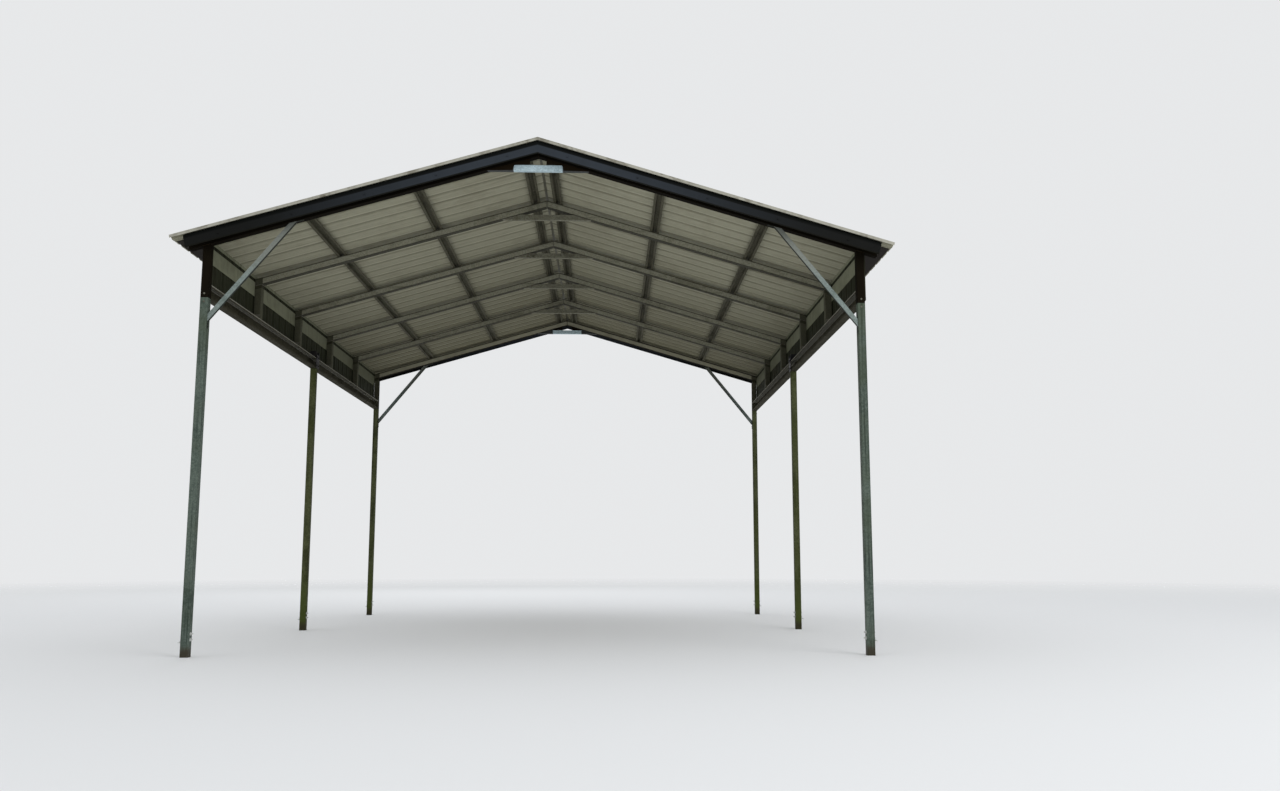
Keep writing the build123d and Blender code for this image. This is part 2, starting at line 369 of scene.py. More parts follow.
def swept(
    outline: np.ndarray, stations: np.ndarray, place: Callable[..., np.ndarray]
) -> np.ndarray:
    """Rings of an outline carried along a straight path.

    Args:
        outline: points of shape (n, 2).
        stations: places along the path, of shape (m,) or (m, n).
        place: gives points in space from the outline's two coordinates and the station.

    Returns:
        Rings of shape (m, n, 3).
    """
    along = stations if stations.ndim == 2 else stations[:, None] + np.zeros(len(outline))
    first = np.broadcast_to(outline[:, 0], along.shape)
    second = np.broadcast_to(outline[:, 1], along.shape)
    return place(first, second, along)


def folded_sheet(
    line: np.ndarray, wall: float, stations: np.ndarray, place: Callable[..., np.ndarray]
) -> Shell:
    """Sheet folded along a line and carried along a straight path.

    Args:
        line: points of shape (n, 2).
        wall: thickness of the sheet, on the line's left.
        stations: places along the path, as in swept.
        place: gives points in space, as in swept.

    Returns:
        The closed shell.
    """
    return folded_shell(swept(folded_outline(line, wall), stations, place))


def stacked(across: Any, along: Any, heights: Any) -> np.ndarray:
    """Places of shape (n, 3) from values or arrays of X, Y and Z."""
    return np.stack(np.broadcast_arrays(across, along, heights), axis=-1).reshape(-1, 3)


def seats(
    origins: np.ndarray, normal: np.ndarray, spins: Optional[np.ndarray] = None
) -> np.ndarray:
    """Matrices that stand a shape on a surface, its Z along the surface's normal.

    Args:
        origins: places of shape (n, 3).
        normal: the surface's outward normal.
        spins: turn of each copy about the normal, in radians.

    Returns:
        Matrices of shape (n, 4, 4).
    """
    up = np.asarray(normal, float) / np.linalg.norm(normal)
    helper = REARWARDS if abs(up[1]) < NEARLY_ALONG else RIGHTWARDS
    across = np.cross(helper, up)
    across /= np.linalg.norm(across)
    along = np.cross(up, across)
    angle = np.zeros(len(origins)) if spins is None else spins
    cosine, sine = np.cos(angle)[:, None], np.sin(angle)[:, None]
    matrices = np.zeros((len(origins), 4, 4))
    matrices[:, :3, 0] = cosine * across + sine * along
    matrices[:, :3, 1] = cosine * along - sine * across
    matrices[:, :3, 2] = up
    matrices[:, :3, 3] = origins
    matrices[:, 3, 3] = 1.0
    return matrices


def box_corners(node: str) -> tuple[np.ndarray, np.ndarray]:
    """Lowest and highest corner of a node of the frame, as arrays."""
    low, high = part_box(node)
    return np.array(low), np.array(high)


class FrameMap:
    """Places on the carport's frame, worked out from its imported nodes.

    Everything is for the right side, where X is positive.
    """

    def __init__(self) -> None:
        """Reads the boxes of the posts, bows, purlins and sheets."""
        post_low, post_high = box_corners("front_right_post")
        self.tube = post_high[0] - post_low[0]
        self.stub_inner = post_low[0]
        self.half_width = post_high[0]
        self.half_length = -post_low[1]
        self.post_top = post_high[2]
        self.rail_top = box_corners("right_header_rail")[1][2]
        self.bow_starts = {name: box_corners(f"{name}_bow")[0][1] for name in BOW_NAMES}
        middles = {
            name: np.mean(box_corners(f"right_{name}_purlin"), axis=0) for name in PURLIN_NAMES
        }
        fall = middles["inner"] - middles["outer"]
        self.slope = fall[2] / -fall[0]
        self.pitch = math.atan(self.slope)
        self.cosine = math.cos(self.pitch)
        self.sine = math.sin(self.pitch)
        self.rafter_top_apex = box_corners("inner_1_bow")[1][2]
        self.rafter_foot_apex = self.rafter_top_apex - self.tube / self.cosine
        self.sheet_apex = self.rafter_top_apex + PURLIN_HEIGHT / self.cosine
        crown_lean = (PURLIN_HEIGHT - PURLIN_WALL / 2) * self.sine
        self.purlin_downs = {
            name: (middles[name][0] + crown_lean) / self.cosine for name in PURLIN_NAMES
        }
        sheet_low, sheet_high = box_corners("right_roof_sheet")
        self.sheet_ends = (sheet_low[1], sheet_high[1])
        self.sheet_feet = rib_feet(*self.sheet_ends)
        rib_lean = (RIB_HEIGHT + SHEET_WALL) * self.sine
        self.sheet_end_down = (sheet_high[0] - rib_lean) / self.cosine
        self.roof_normal = np.array([self.sine, 0.0, self.cosine])

    def roof_points(self, down: Any, along: Any, out: Any) -> np.ndarray:
        """Points on the right slope.

        Args:
            down: distance from the ridge, down the slope.
            along: Y.
            out: distance out of the sheet's flat underside.

        Returns:
            Points with X, Y and Z in the last axis.
        """
        across = down * self.cosine + out * self.sine
        height = self.sheet_apex - down * self.sine + out * self.cosine
        return np.stack(np.broadcast_arrays(across, along, height), axis=-1)

    def across_slope(self, along: Any, out: Any, down: Any) -> np.ndarray:
        """Roof points of a section across the ribs, carried down the slope."""
        return self.roof_points(down, along, out)

    def along_slope(self, down: Any, out: Any, along: Any) -> np.ndarray:
        """Roof points of a section down the slope, carried along the bay."""
        return self.roof_points(down, along, out)

    def from_ridge(self, outline: np.ndarray, end: float) -> np.ndarray:
        """Stations of a section across the ribs that starts upright at the ridge.

        Args:
            outline: the section's places along the bay and out of the sheet.
            end: how far down the slope it goes.

        Returns:
            Two rows of distances down the slope.
        """
        ridge = -outline[:, 1] * math.tan(self.pitch)
        return np.stack([ridge, np.full(len(outline), end)])

    def rafter_foot(self, across: float) -> float:
        """Height of the rafters' underside at a distance from the middle."""
        return self.rafter_foot_apex - self.slope * across

    def rafter_top(self, across: float) -> float:
        """Height of the rafters' upper side at a distance from the middle."""
        return self.rafter_top_apex - self.slope * across


def rib_feet(start: float, end: float) -> np.ndarray:
    """Where each rib of a ribbed sheet begins.

    The ribs divide the sheet into whole pitches, as near to the usual pitch as fits.

    Args:
        start: where the sheet begins.
        end: where it ends, across the ribs.

    Returns:
        The first foot of each rib.
    """
    length = end - start - RIB_BASE
    bays = max(1, round(length / RIB_PITCH))
    return start + np.arange(bays + 1) * length / bays


def rib_line(foot: float, lip: float) -> np.ndarray:
    """Line over one rib of a sheet: a place across the ribs and a height.

    Args:
        foot: where the rib begins.
        lip: how far the line goes on over the pans beside it.

    Returns:
        Six points.
    """
    shoulder = (RIB_BASE - RIB_TOP) / 2
    places = np.array([-lip, 0.0, shoulder, RIB_BASE - shoulder, RIB_BASE, RIB_BASE + lip])
    heights = np.array([0.0, 0.0, RIB_HEIGHT, RIB_HEIGHT, 0.0, 0.0])
    return np.stack([foot + places, heights + SHEET_WALL + SKIN_GAP], axis=-1)


def screw_places(feet: np.ndarray) -> np.ndarray:
    """Where the screws sit across a sheet's ribs: in each pan, beside its rib."""
    return feet[:-1] + RIB_BASE + SCREW_BESIDE_RIB


@dataclass(frozen=True)
class SideLap:
    """The upper sheet's edge, folded over every few ribs of the sheet beside it."""

    every: int = 4
    wall: float = 0.0009
    lip: float = 0.011

    def shell(self, feet: np.ndarray, stations: np.ndarray, place: Callable) -> Shell:
        """The laps over a sheet's ribs.

        Args:
            feet: where each rib begins.
            stations: where the laps start and end along the ribs.
            place: gives points in space, as in swept.

        Returns:
            One shell with all the laps.
        """
        lines = [rib_line(foot, self.lip) for foot in feet[self.every : -1 : self.every]]
        return Shell.joined([folded_sheet(line, self.wall, stations, place) for line in lines])


@dataclass(frozen=True)
class HexFixing:
    """A hex head on its washer, such as a sheet screw, a bolt head or a nut."""

    across_flats: float
    head_height: float
    washer_radius: float
    washer_height: float
    stud_radius: float = 0.0
    stud_height: float = 0.0
    columns: int = 12
    sunk: float = 0.0004
    washer_foot_share: float = 0.97
    washer_edge_share: float = 0.55
    narrow_share: float = 0.9
    chamfer_share: float = 0.18
    stud_tip_share: float = 0.8

    def shell(self) -> Shell:
        """The fixing with its foot at the origin and its axis along Z.

        The washer is a low cone, the head a hexagon with a turned chamfer, and a stud
        stands out of a nut where the fixing has one.

        Returns:
            The closed shell.
        """
        flat, rim, stud = self.across_flats / 2, self.washer_radius, self.stud_radius
        washer = self.washer_height
        top = washer + self.head_height
        stations = [
            (rim * self.washer_foot_share, -self.sunk, Outline.ROUND),
            (rim, washer * self.washer_edge_share, Outline.ROUND),
            (rim * self.narrow_share, washer, Outline.ROUND),
            (flat, washer, Outline.HEXAGON),
            (flat, top - flat * self.chamfer_share, Outline.HEXAGON),
            (flat * self.narrow_share, top, Outline.ROUND),
        ]
        if self.stud_height:
            stations += [
                (stud, top, Outline.ROUND),
                (stud, top + self.stud_height * self.narrow_share, Outline.ROUND),
                (stud * self.stud_tip_share, top + self.stud_height, Outline.ROUND),
            ]
        radii, heights, outlines = zip(*stations)
        return turned_shell(np.array(radii), np.array(heights), list(outlines), self.columns)


SHEET_SCREW = HexFixing(0.0080, 0.0048, 0.0078, 0.0024)
FRAME_SCREW = HexFixing(0.0095, 0.0055, 0.0085, 0.0016)
PLATE_BOLT = HexFixing(0.0160, 0.0070, 0.0115, 0.0020, columns=24)
ANCHOR_NUT = HexFixing(0.0190, 0.0100, 0.0140, 0.0024, 0.0050, 0.0080, columns=24)


def fixings(
    kind: HexFixing, origins: np.ndarray, normal: np.ndarray, draws: np.random.Generator
) -> Shell:
    """A row of fixings, each turned its own way.

    Args:
        kind: the fixing.
        origins: their places.
        normal: the outward normal of the surface that they sit on.
        draws: the random draws for their turns.

    Returns:
        One shell with all of them.
    """
    spins = draws.uniform(0.0, SIXTH_TURN, len(origins))
    return kind.shell().stamped(seats(origins, normal, spins))


@dataclass(frozen=True)
class WeldBead:
    """Weld bead of a straight seam, rippled along it and closed at both ends."""

    radius: float = 0.0038
    ripple: float = 0.0030
    trough_share: float = 0.82
    swell_share: float = 0.18
    end_power: int = 8
    end_least: float = 0.02
    columns: int = 8
    least_rows: int = 8
    rows_per_ripple: int = 3

    def along(self, start: np.ndarray, end: np.ndarray) -> Shell:
        """The bead from one end of a seam to the other.

        The radius ripples as the size of a sine along the seam, from the trough's share
        of it to the whole, and closes at the ends as the root of one minus a power.

        Args:
            start: first end of the seam.
            end: last end of the seam.

        Returns:
            The closed shell.
        """
        length = float(np.linalg.norm(end - start))
        rows = max(self.least_rows, int(length / self.ripple * self.rows_per_ripple))
        share = np.linspace(0.0, 1.0, rows)
        swell = np.abs(np.sin(math.pi * share * length / self.ripple))
        wave = self.trough_share + self.swell_share * swell
        ends = np.sqrt(np.clip(1.0 - (2 * share - 1) ** self.end_power, self.end_least, 1.0))
        direction = (end - start) / length
        helper = UPWARDS if abs(direction[2]) < NEARLY_ALONG else REARWARDS
        first = np.cross(direction, helper)
        first /= np.linalg.norm(first)
        axes = np.stack([first, np.cross(direction, first)])
        ring = (circle(self.columns)[..., None] * axes).sum(axis=1)
        centres = start + share[:, None] * (end - start)
        return round_shell(centres[:, None] + (self.radius * wave * ends)[:, None, None] * ring)

    def seams(self, lines: list) -> Shell:
        """One shell with a bead along each seam, given by its two ends."""
        return Shell.joined([self.along(*np.array(line)) for line in lines])


BEAD = WeldBead()


def round_bar(
    centre: tuple[float, float],
    radius: float,
    stations: np.ndarray,
    place: Callable,
    columns: int = 12,
) -> Shell:
    """Straight round bar, such as a rolled hem.

    Args:
        centre: its two coordinates across the path.
        radius: its radius.
        stations: places along the path.
        place: gives points in space from two coordinates and the station.
        columns: points round it.

    Returns:
        The closed shell.
    """
    return round_shell(swept(circle(columns) * radius + np.array(centre), stations, place))


def quarter_bend(
    corner: np.ndarray, start: np.ndarray, end: np.ndarray, count: int = 5
) -> np.ndarray:
    """Points of a quarter arc inside a right-angled corner.

    Args:
        corner: the corner of the two legs.
        start: where the arc leaves the first leg.
        end: where it joins the second.
        count: how many points.

    Returns:
        The points, from start to end.
    """
    angles = np.linspace(0.0, math.pi / 2, count)[:, None]
    centre = start + end - corner
    return centre + (start - centre) * np.cos(angles) + (end - centre) * np.sin(angles)


def upright_points(across: np.ndarray, height: np.ndarray, along: np.ndarray) -> np.ndarray:
    """Points in space from a place across the bay, a height and a place along the bay."""
    return np.stack([across, along, height], axis=-1)


def endwise_points(along: np.ndarray, height: np.ndarray, across: np.ndarray) -> np.ndarray:
    """Points in space from a place along the bay, a height and a place across the bay."""
    return np.stack([across, along, height], axis=-1)


def angle_clip(leg: float, width: float, wall: float, bend_walls: float = 1.6) -> Shell:
    """Angle clip in its own axes: a foot along +Y, an upright leg up Z, its width along X.

    Args:
        leg: length of both legs.
        width: its width.
        wall: its thickness.
        bend_walls: radius of its bend, in walls.

    Returns:
        The closed shell.
    """
    bend = wall * bend_walls
    arc = quarter_bend(np.zeros(2), np.array([0.0, bend]), np.array([bend, 0.0]))
    line = np.concatenate([[[0.0, leg]], arc, [[leg, 0.0]]])
    return folded_sheet(line, wall, BOTH_WAYS * width / 2, endwise_points)


def upright_sheet(line: np.ndarray, wall: float, start: float, end: float) -> Shell:
    """Sheet folded along a line in the plane across the bay, drawn along the bay.

    Args:
        line: points of X and Z.
        wall: thickness of the sheet, on the line's left.
        start: where it begins along the bay.
        end: where it ends.

    Returns:
        The closed shell.
    """
    return folded_sheet(line, wall, np.array([start, end]), upright_points)


def add_piece(name: str, shell: Shell, finish: "Finish") -> None:
    """Makes an object of a shell, dresses it and lets it ride on the frame.

    Args:
        name: the piece's name.
        shell: its surface.
        finish: its finish.
    """
    mesh = bpy.data.meshes.new(name)
    loops = np.concatenate([shell.quads.ravel(), shell.triangles.ravel()])
    quad_starts = np.arange(len(shell.quads)) * 4
    triangle_starts = quad_starts.size * 4 + np.arange(len(shell.triangles)) * 3
    mesh.vertices.add(len(shell.points))
    mesh.vertices.foreach_set("co", shell.points.astype(np.float32).ravel())
    mesh.loops.add(len(loops))
    mesh.loops.foreach_set("vertex_index", loops.astype(np.int32))
    mesh.polygons.add(len(quad_starts) + len(triangle_starts))
    starts = np.concatenate([quad_starts, triangle_starts]).astype(np.int32)
    mesh.polygons.foreach_set("loop_start", starts)
    mesh.update(calc_edges=True)
    mesh.validate()
    mesh.shade_smooth()
    mesh.set_sharp_from_angle(angle=SHARP_TURN)
    piece = bpy.data.objects.new(name, mesh)
    bpy.context.scene.collection.objects.link(piece)
    mesh.materials.append(finish.material())
    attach(piece, BODY)
    LOG.info("%s: %d faces", name, len(mesh.polygons))


def dress_node(name: str, finish: "Finish") -> None:
    """Puts a finish on a node of the frame.

    Args:
        name: the node.
        finish: its finish.
    """
    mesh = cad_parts[name].data
    mesh.materials.clear()
    mesh.materials.append(finish.material())
    LOG.info("%s: %s", name, finish.name)


class NodeBoard:
    """A node tree, with short calls for the nodes that the finishes use."""

    def __init__(self, tree: bpy.types.NodeTree) -> None:
        """Keeps the tree that the calls add to."""
        self.tree = tree

    def feed(self, socket: Socket, value: Feed) -> None:
        """Links a socket to another, or sets its value."""
        if isinstance(value, Socket):
            self.tree.links.new(value, socket)
        else:
            socket.default_value = value

    def node(self, kind: str, inputs: Optional[dict] = None, **settings: Any) -> bpy.types.Node:
        """Adds a node.

        Args:
            kind: its type.
            inputs: values or sockets for its inputs, by name or number.
            **settings: its properties.

        Returns:
            The node.
        """
        made = self.tree.nodes.new(kind)
        for name, value in settings.items():
            setattr(made, name, value)
        for key, value in (inputs or {}).items():
            self.feed(made.inputs[key], value)
        return made

    def maths(self, operation: str, first: Feed, second: Feed = 0.0) -> Socket:
        """Result of a Math node on two values."""
        return self.node("ShaderNodeMath", {0: first, 1: second}, operation=operation).outputs[0]

    def times(self, first: Feed, second: Feed) -> Socket:
        """One value times another."""
        return self.maths("MULTIPLY", first, second)

    def plus(self, first: Feed, second: Feed) -> Socket:
        """The sum of two values."""
        return self.maths("ADD", first, second)

    def minus(self, first: Feed, second: Feed) -> Socket:
        """One value less another."""
        return self.maths("SUBTRACT", first, second)

    def weighed(self, first: Feed, second: Feed, share: float) -> Socket:
        """Mean of two values, with the first one's share in it."""
        return self.plus(self.times(first, share), self.times(second, 1.0 - share))

    def vectors(self, operation: str, first: Feed, second: Feed) -> Any:
        """Outputs of a Vector Math node on two vectors."""
        inputs = {0: first, 1: second}
        return self.node("ShaderNodeVectorMath", inputs, operation=operation).outputs

    def ranged(
        self, value: Feed, low: Feed, high: Feed, to_low: Feed = 0.0, to_high: Feed = 1.0
    ) -> Socket:
        """A value mapped from one range to another, smoothly and within it."""
        inputs = {0: value, 1: low, 2: high, 3: to_low, 4: to_high}
        return self.node("ShaderNodeMapRange", inputs, interpolation_type="SMOOTHSTEP").outputs[0]

    def covered(self, value: Feed, cover: Feed, top: float, span: float, soft: float) -> Socket:
        """One where a value passes a threshold, which falls as the cover grows.

        Args:
            value: the value.
            cover: how much is to be covered.
            top: the threshold without any cover.
            span: how far the threshold falls with full cover.
            soft: the width of the threshold.

        Returns:
            The mask.
        """
        low = self.minus(top, self.times(cover, span))
        return self.ranged(value, low, self.plus(low, soft))

    def noise(
        self, vector: Feed, scale: Feed, detail: float = 4.0, roughness: float = 0.55
    ) -> Socket:
        """Value of a noise texture."""
        inputs = {"Vector": vector, "Scale": scale, "Detail": detail, "Roughness": roughness}
        return self.node("ShaderNodeTexNoise", inputs).outputs["Fac"]

    def cells(self, vector: Feed, scale: Feed) -> Any:
        """Outputs of a Voronoi texture."""
        return self.node("ShaderNodeTexVoronoi", {"Vector": vector, "Scale": scale}).outputs

    def blended(self, factor: Feed, first: Feed, second: Feed) -> Socket:
        """Colour between two colours."""
        inputs = {0: factor, 6: opaque(first), 7: opaque(second)}
        return self.node("ShaderNodeMix", inputs, data_type="RGBA").outputs[2]

    def parts(self, vector: Feed) -> list[Socket]:
        """The three parts of a vector."""
        return list(self.node("ShaderNodeSeparateXYZ", {0: vector}).outputs)

    def effect(self, effect: "Effect", vector: Feed, **inputs: Feed) -> Any:
        """Places a shared effect.

        Args:
            effect: which one.
            vector: where it is read.
            **inputs: its other inputs by name.

        Returns:
            The outputs of the group's node.
        """
        made = self.tree.nodes.new("ShaderNodeGroup")
        made.node_tree = effect.group()
        for key, value in {"Vector": vector, **inputs}.items():
            self.feed(made.inputs[key], value)
        return made.outputs

    def mask(self, effect: "Effect", vector: Feed, **inputs: Feed) -> Socket:
        """Mask of a shared effect."""
        return self.effect(effect, vector, **inputs)["Mask"]

    def shade_between(
        self, share: Feed, first: bpy.types.Node, second: bpy.types.Node, output: str
    ) -> None:
        """Mixes two shaders into the tree's output.

        Args:
            share: the second shader's share.
            first: the first shader.
            second: the second shader.
            output: name of the tree's output node.
        """
        inputs = {0: share, 1: first.outputs[0], 2: second.outputs[0]}
        made = self.node("ShaderNodeMixShader", inputs)
        self.feed(self.tree.nodes[output].inputs["Surface"], made.outputs[0])


def opaque(colour: Feed) -> Feed:
    """A colour with full alpha. A socket stays as it is."""
    return colour if isinstance(colour, Socket) else (*colour, 1.0)


class Effect(Enum):
    """Shader effects that several finishes share, each a node group with named sockets."""

    SPANGLE = "zinc_spangle"
    MOTTLE = "weather_mottle"
    STREAKS = "rain_streaks"
    GRIME = "foot_grime"
    DUST = "settled_dust"
    FLECKS = "surface_flecks"
    SECTION = "section_mark"
    RIBS = "rib_soil"

    def group(self) -> bpy.types.NodeTree:
        """The effect's node group, built on its first use.

        Returns:
            The group.
        """
        found = bpy.data.node_groups.get(self.value)
        if found:
            return found
        tree = bpy.data.node_groups.new(self.value, "ShaderNodeTree")
        builders = {
            Effect.SPANGLE: build_spangle,
            Effect.MOTTLE: build_mottle,
            Effect.STREAKS: build_streaks,
            Effect.GRIME: build_grime,
            Effect.DUST: build_dust,
            Effect.FLECKS: build_flecks,
            Effect.SECTION: build_section_mark,
            Effect.RIBS: build_rib_shading,
        }
        builders[self](tree)
        return tree


# Spangle: scale of its finer cells, and how far noise moves their borders
FINE_CELLS = 2.3
CELL_SHAKE = (0.006, 0.006, 0.006)

# Scale of the finer noise across the weathered patches
FINE_PATCHES = 7.0

# Soil at the feet, in reaches: how ragged its edge is, and where it ends
SOIL_RAGGED = 1.1
SOIL_END = 0.9

# Painted shade in a rib, in bases: where it is full, where it thins out, and the width of the
# painted highlight beside it
GROOVE_FULL = 0.3
GROOVE_THINS = 0.7
LINE_WIDTH = 0.6


def open_group(
    tree: bpy.types.NodeTree,
    values: tuple[str, ...],
    vectors: tuple[str, ...] = (),
    outputs: tuple[str, ...] = ("Mask",),
) -> tuple[NodeBoard, list[Socket], Any]:
    """Gives a group its named sockets, with Vector as its first input.

    Args:
        tree: the group.
        values: names of its inputs that are values.
        vectors: names of its other inputs that are vectors.
        outputs: names of the outputs, all values.

    Returns:
        A board on the group, its input sockets (Vector, the other vectors, the values),
        and the sockets that take its outputs.
    """
    kinds = {name: "Vector" for name in ("Vector", *vectors)} | {name: "Float" for name in values}
    for name, kind in kinds.items():
        tree.interface.new_socket(name=name, in_out="INPUT", socket_type=f"NodeSocket{kind}")
    for name in outputs:
        tree.interface.new_socket(name=name, in_out="OUTPUT", socket_type="NodeSocketFloat")
    board = NodeBoard(tree)
    entry = board.node("NodeGroupInput").outputs
    return board, [entry[name] for name in kinds], board.node("NodeGroupOutput").inputs


def build_spangle(tree: bpy.types.NodeTree) -> None:
    """Crystals of zinc: cells of two sizes, each with its own tone, and their borders.

    Args:
        tree: the empty group.
    """
    outputs = ("Tone", "Height")
    board, given, leave = open_group(tree, ("Scale", "Contrast"), outputs=outputs)
    vector, scale, contrast = given
    shake = board.noise(vector, scale=90.0, detail=2.0)
    wobble = board.vectors("MULTIPLY", shake, CELL_SHAKE)[0]
    shaken = board.vectors("ADD", vector, wobble)[0]
    coarse = board.cells(shaken, scale)
    fine = board.cells(shaken, board.times(scale, FINE_CELLS))
    coarse_tone = board.parts(coarse["Color"])[0]
    fine_tone = board.parts(fine["Color"])[1]
    mean = board.weighed(coarse_tone, fine_tone, share=0.65)
    centred = board.times(board.minus(mean, 0.5), contrast)
    board.feed(leave["Tone"], board.plus(centred, 0.5))
    board.feed(leave["Height"], coarse["Distance"])


def build_mottle(tree: bpy.types.NodeTree) -> None:
    """Soft weathered patches: broad noise with a finer one across it.

    Args:
        tree: the empty group.
    """
    board, (vector, scale, cover), leave = open_group(tree, ("Scale", "Cover"))
    broad = board.noise(vector, scale, detail=5.0, roughness=0.62)
    finer = board.noise(vector, board.times(scale, FINE_PATCHES))
    mean = board.weighed(broad, finer, share=0.75)
    board.feed(leave["Mask"], board.covered(mean, cover, top=0.72, span=0.4, soft=0.2))


def build_streaks(tree: bpy.types.NodeTree) -> None:
    """Marks that rain leaves: noise drawn out along one direction, broken along it.

    Args:
        tree: the empty group.
    """
    board, (vector, stretch, cover), leave = open_group(tree, ("Cover",), ("Stretch",))
    drawn = board.vectors("MULTIPLY", vector, stretch)[0]
    lines = board.noise(drawn, scale=1.0, detail=3.0, roughness=0.6)
    sharp = board.covered(lines, cover, top=0.7, span=0.35, soft=0.14)
    broken = board.ranged(board.noise(vector, scale=2.3), low=0.36, high=0.62)
    board.feed(leave["Mask"], board.times(sharp, broken))


def build_grime(tree: bpy.types.NodeTree) -> None:
    """Splashed soil that thins out upwards from the ground.

    Args:
        tree: the empty group.
    """
    board, (vector, reach), leave = open_group(tree, ("Reach",))
    ragged = board.times(board.noise(vector, scale=38.0, detail=5.0, roughness=0.65), reach)
    level = board.minus(board.parts(vector)[2], board.times(ragged, SOIL_RAGGED))
    far = board.times(reach, SOIL_END)
    board.feed(leave["Mask"], board.ranged(level, 0.0, far, to_low=1.0, to_high=0.0))


def build_dust(tree: bpy.types.NodeTree) -> None:
    """Dust that settles on faces that look up, uneven as it dries.

    Args:
        tree: the empty group.
    """
    board, (vector, normal, amount), leave = open_group(tree, ("Amount",), ("Normal",))
    rise = board.ranged(board.parts(normal)[2], low=0.25, high=0.95)
    broad = board.noise(vector, scale=5.0, detail=6.0, roughness=0.6)
    patches = board.ranged(broad, low=0.3, high=0.72, to_low=0.35)
    board.feed(leave["Mask"], board.times(board.times(rise, patches), amount))


def build_flecks(tree: bpy.types.NodeTree) -> None:
    """Small scattered spots, where the noise passes a threshold.

    Args:
        tree: the empty group.
    """
    board, (vector, scale, amount), leave = open_group(tree, ("Scale", "Amount"))
    spots = board.noise(vector, scale, detail=3.0, roughness=0.7)
    board.feed(leave["Mask"], board.covered(spots, amount, top=0.78, span=0.25, soft=0.05))


def build_section_mark(tree: bpy.types.NodeTree) -> None:
    """Band on a section, between two levels and soft at both.

    The level is the sum of the distance from the middle, the place along the bay and the
    height, each times its share, and a little noise makes the band's edges ragged.

    Args:
        tree: the empty group.
    """
    board, given, leave = open_group(tree, ("Start", "End", "Soft", "Ragged"), ("Shares",))
    vector, shares, start, end, soft, ragged = given
    across, along, height = board.parts(vector)
    folded = {0: board.maths("ABSOLUTE", across), 1: along, 2: height}
    spot = board.node("ShaderNodeCombineXYZ", folded).outputs[0]
    dotted = board.vectors("DOT_PRODUCT", spot, shares)["Value"]
    shake = board.minus(board.noise(vector, scale=11.0, detail=5.0, roughness=0.6), 0.5)
    level = board.plus(dotted, board.times(shake, ragged))
    rises = board.ranged(level, board.minus(start, soft), board.plus(start, soft))
    falls = board.ranged(level, board.minus(end, soft), board.plus(end, soft), 1.0, 0.0)
    board.feed(leave["Mask"], board.times(rises, falls))


def build_rib_shading(tree: bpy.types.NodeTree) -> None:
    """Painted shade in a sheet's ribs, and a painted highlight along a line beside each.

    The place across a rib is the remainder of the distance from the first rib over the
    ribs' pitch. The groove fills the rib's base, and the line ends where it begins.

    Args:
        tree: the empty group.
    """
    outputs = ("Groove", "Line")
    board, given, leave = open_group(tree, ("First", "Pitch", "Base"), outputs=outputs)
    vector, first, pitch, base = given
    run = board.minus(board.parts(vector)[1], first)
    place = board.maths("FLOORED_MODULO", run, pitch)
    opens = board.ranged(place, 0.0, board.times(base, GROOVE_FULL))
    closes = board.ranged(place, board.times(base, GROOVE_THINS), base, 1.0, 0.0)
    patches = board.ranged(board.noise(vector, scale=4.0), low=0.25, high=0.6, to_low=0.55)
    board.feed(leave["Groove"], board.times(board.times(opens, closes), patches))
    line = board.ranged(place, board.minus(pitch, board.times(base, LINE_WIDTH)), pitch)
    board.feed(leave["Line"], board.times(line, patches))


class Measure(Enum):
    """What a mark's level is measured by: the shares of |X|, Y and Z in it."""

    HEIGHT = (0.0, 0.0, 1.0)
    ACROSS = (1.0, 0.0, 0.0)
    DEPTH = (0.0, 1.0, 0.0)
    ROOF_LINE = (ROOF_SLOPE, 0.0, 1.0)
    KNEE_LINE = (-0.77929, 0.0, -0.62666)


@dataclass(frozen=True)
class Mark:
    """A tone along a section, such as algae at a foot, painted shade in a corner or on a web, or a
    painted highlight on a lip.
    """

    measure: Measure
    start: float
    end: float
    colour: Colour
    weight: float = 0.8
    soft: float = 0.003
    ragged: float = 0.0

    def laid(self, board: NodeBoard, place: Socket, colour: Feed) -> Socket:
        """Lays the mark over a colour.

        Args:
            board: a board on the material's tree.
            place: object coordinates.
            colour: the colour under the mark.

        Returns:
            The colour with the mark on it.
        """
        band = {"Start": self.start, "End": self.end, "Soft": self.soft, "Ragged": self.ragged}
        mask = board.mask(Effect.SECTION, place, Shares=self.measure.value, **band)
        return board.blended(board.times(mask, self.weight), colour, self.colour)


@dataclass(frozen=True)
class RibShading:
    """Tones of painted shade in a ribbed sheet's grooves and of the painted highlights beside
    them.
    """

    first: float
    pitch: float
    groove: Colour
    line: Colour
    groove_weight: float = 0.6
    line_weight: float = 0.5

    def laid(self, board: NodeBoard, place: Socket, colour: Feed) -> Socket:
        """Lays the ribs' tones over a colour.

        Args:
            board: a board on the material's tree.
            place: object coordinates.
            colour: the sheet's colour.

        Returns:
            The colour with the ribs' tones on it.
        """
        # The groove tone is painted shade and the line tone is a painted highlight.
        soil = board.effect(Effect.RIBS, place, First=self.first, Pitch=self.pitch, Base=RIB_BASE)
        groove = board.times(soil["Groove"], self.groove_weight)
        colour = board.blended(groove, colour, self.groove)
        return board.blended(board.times(soil["Line"], self.line_weight), colour, self.line)


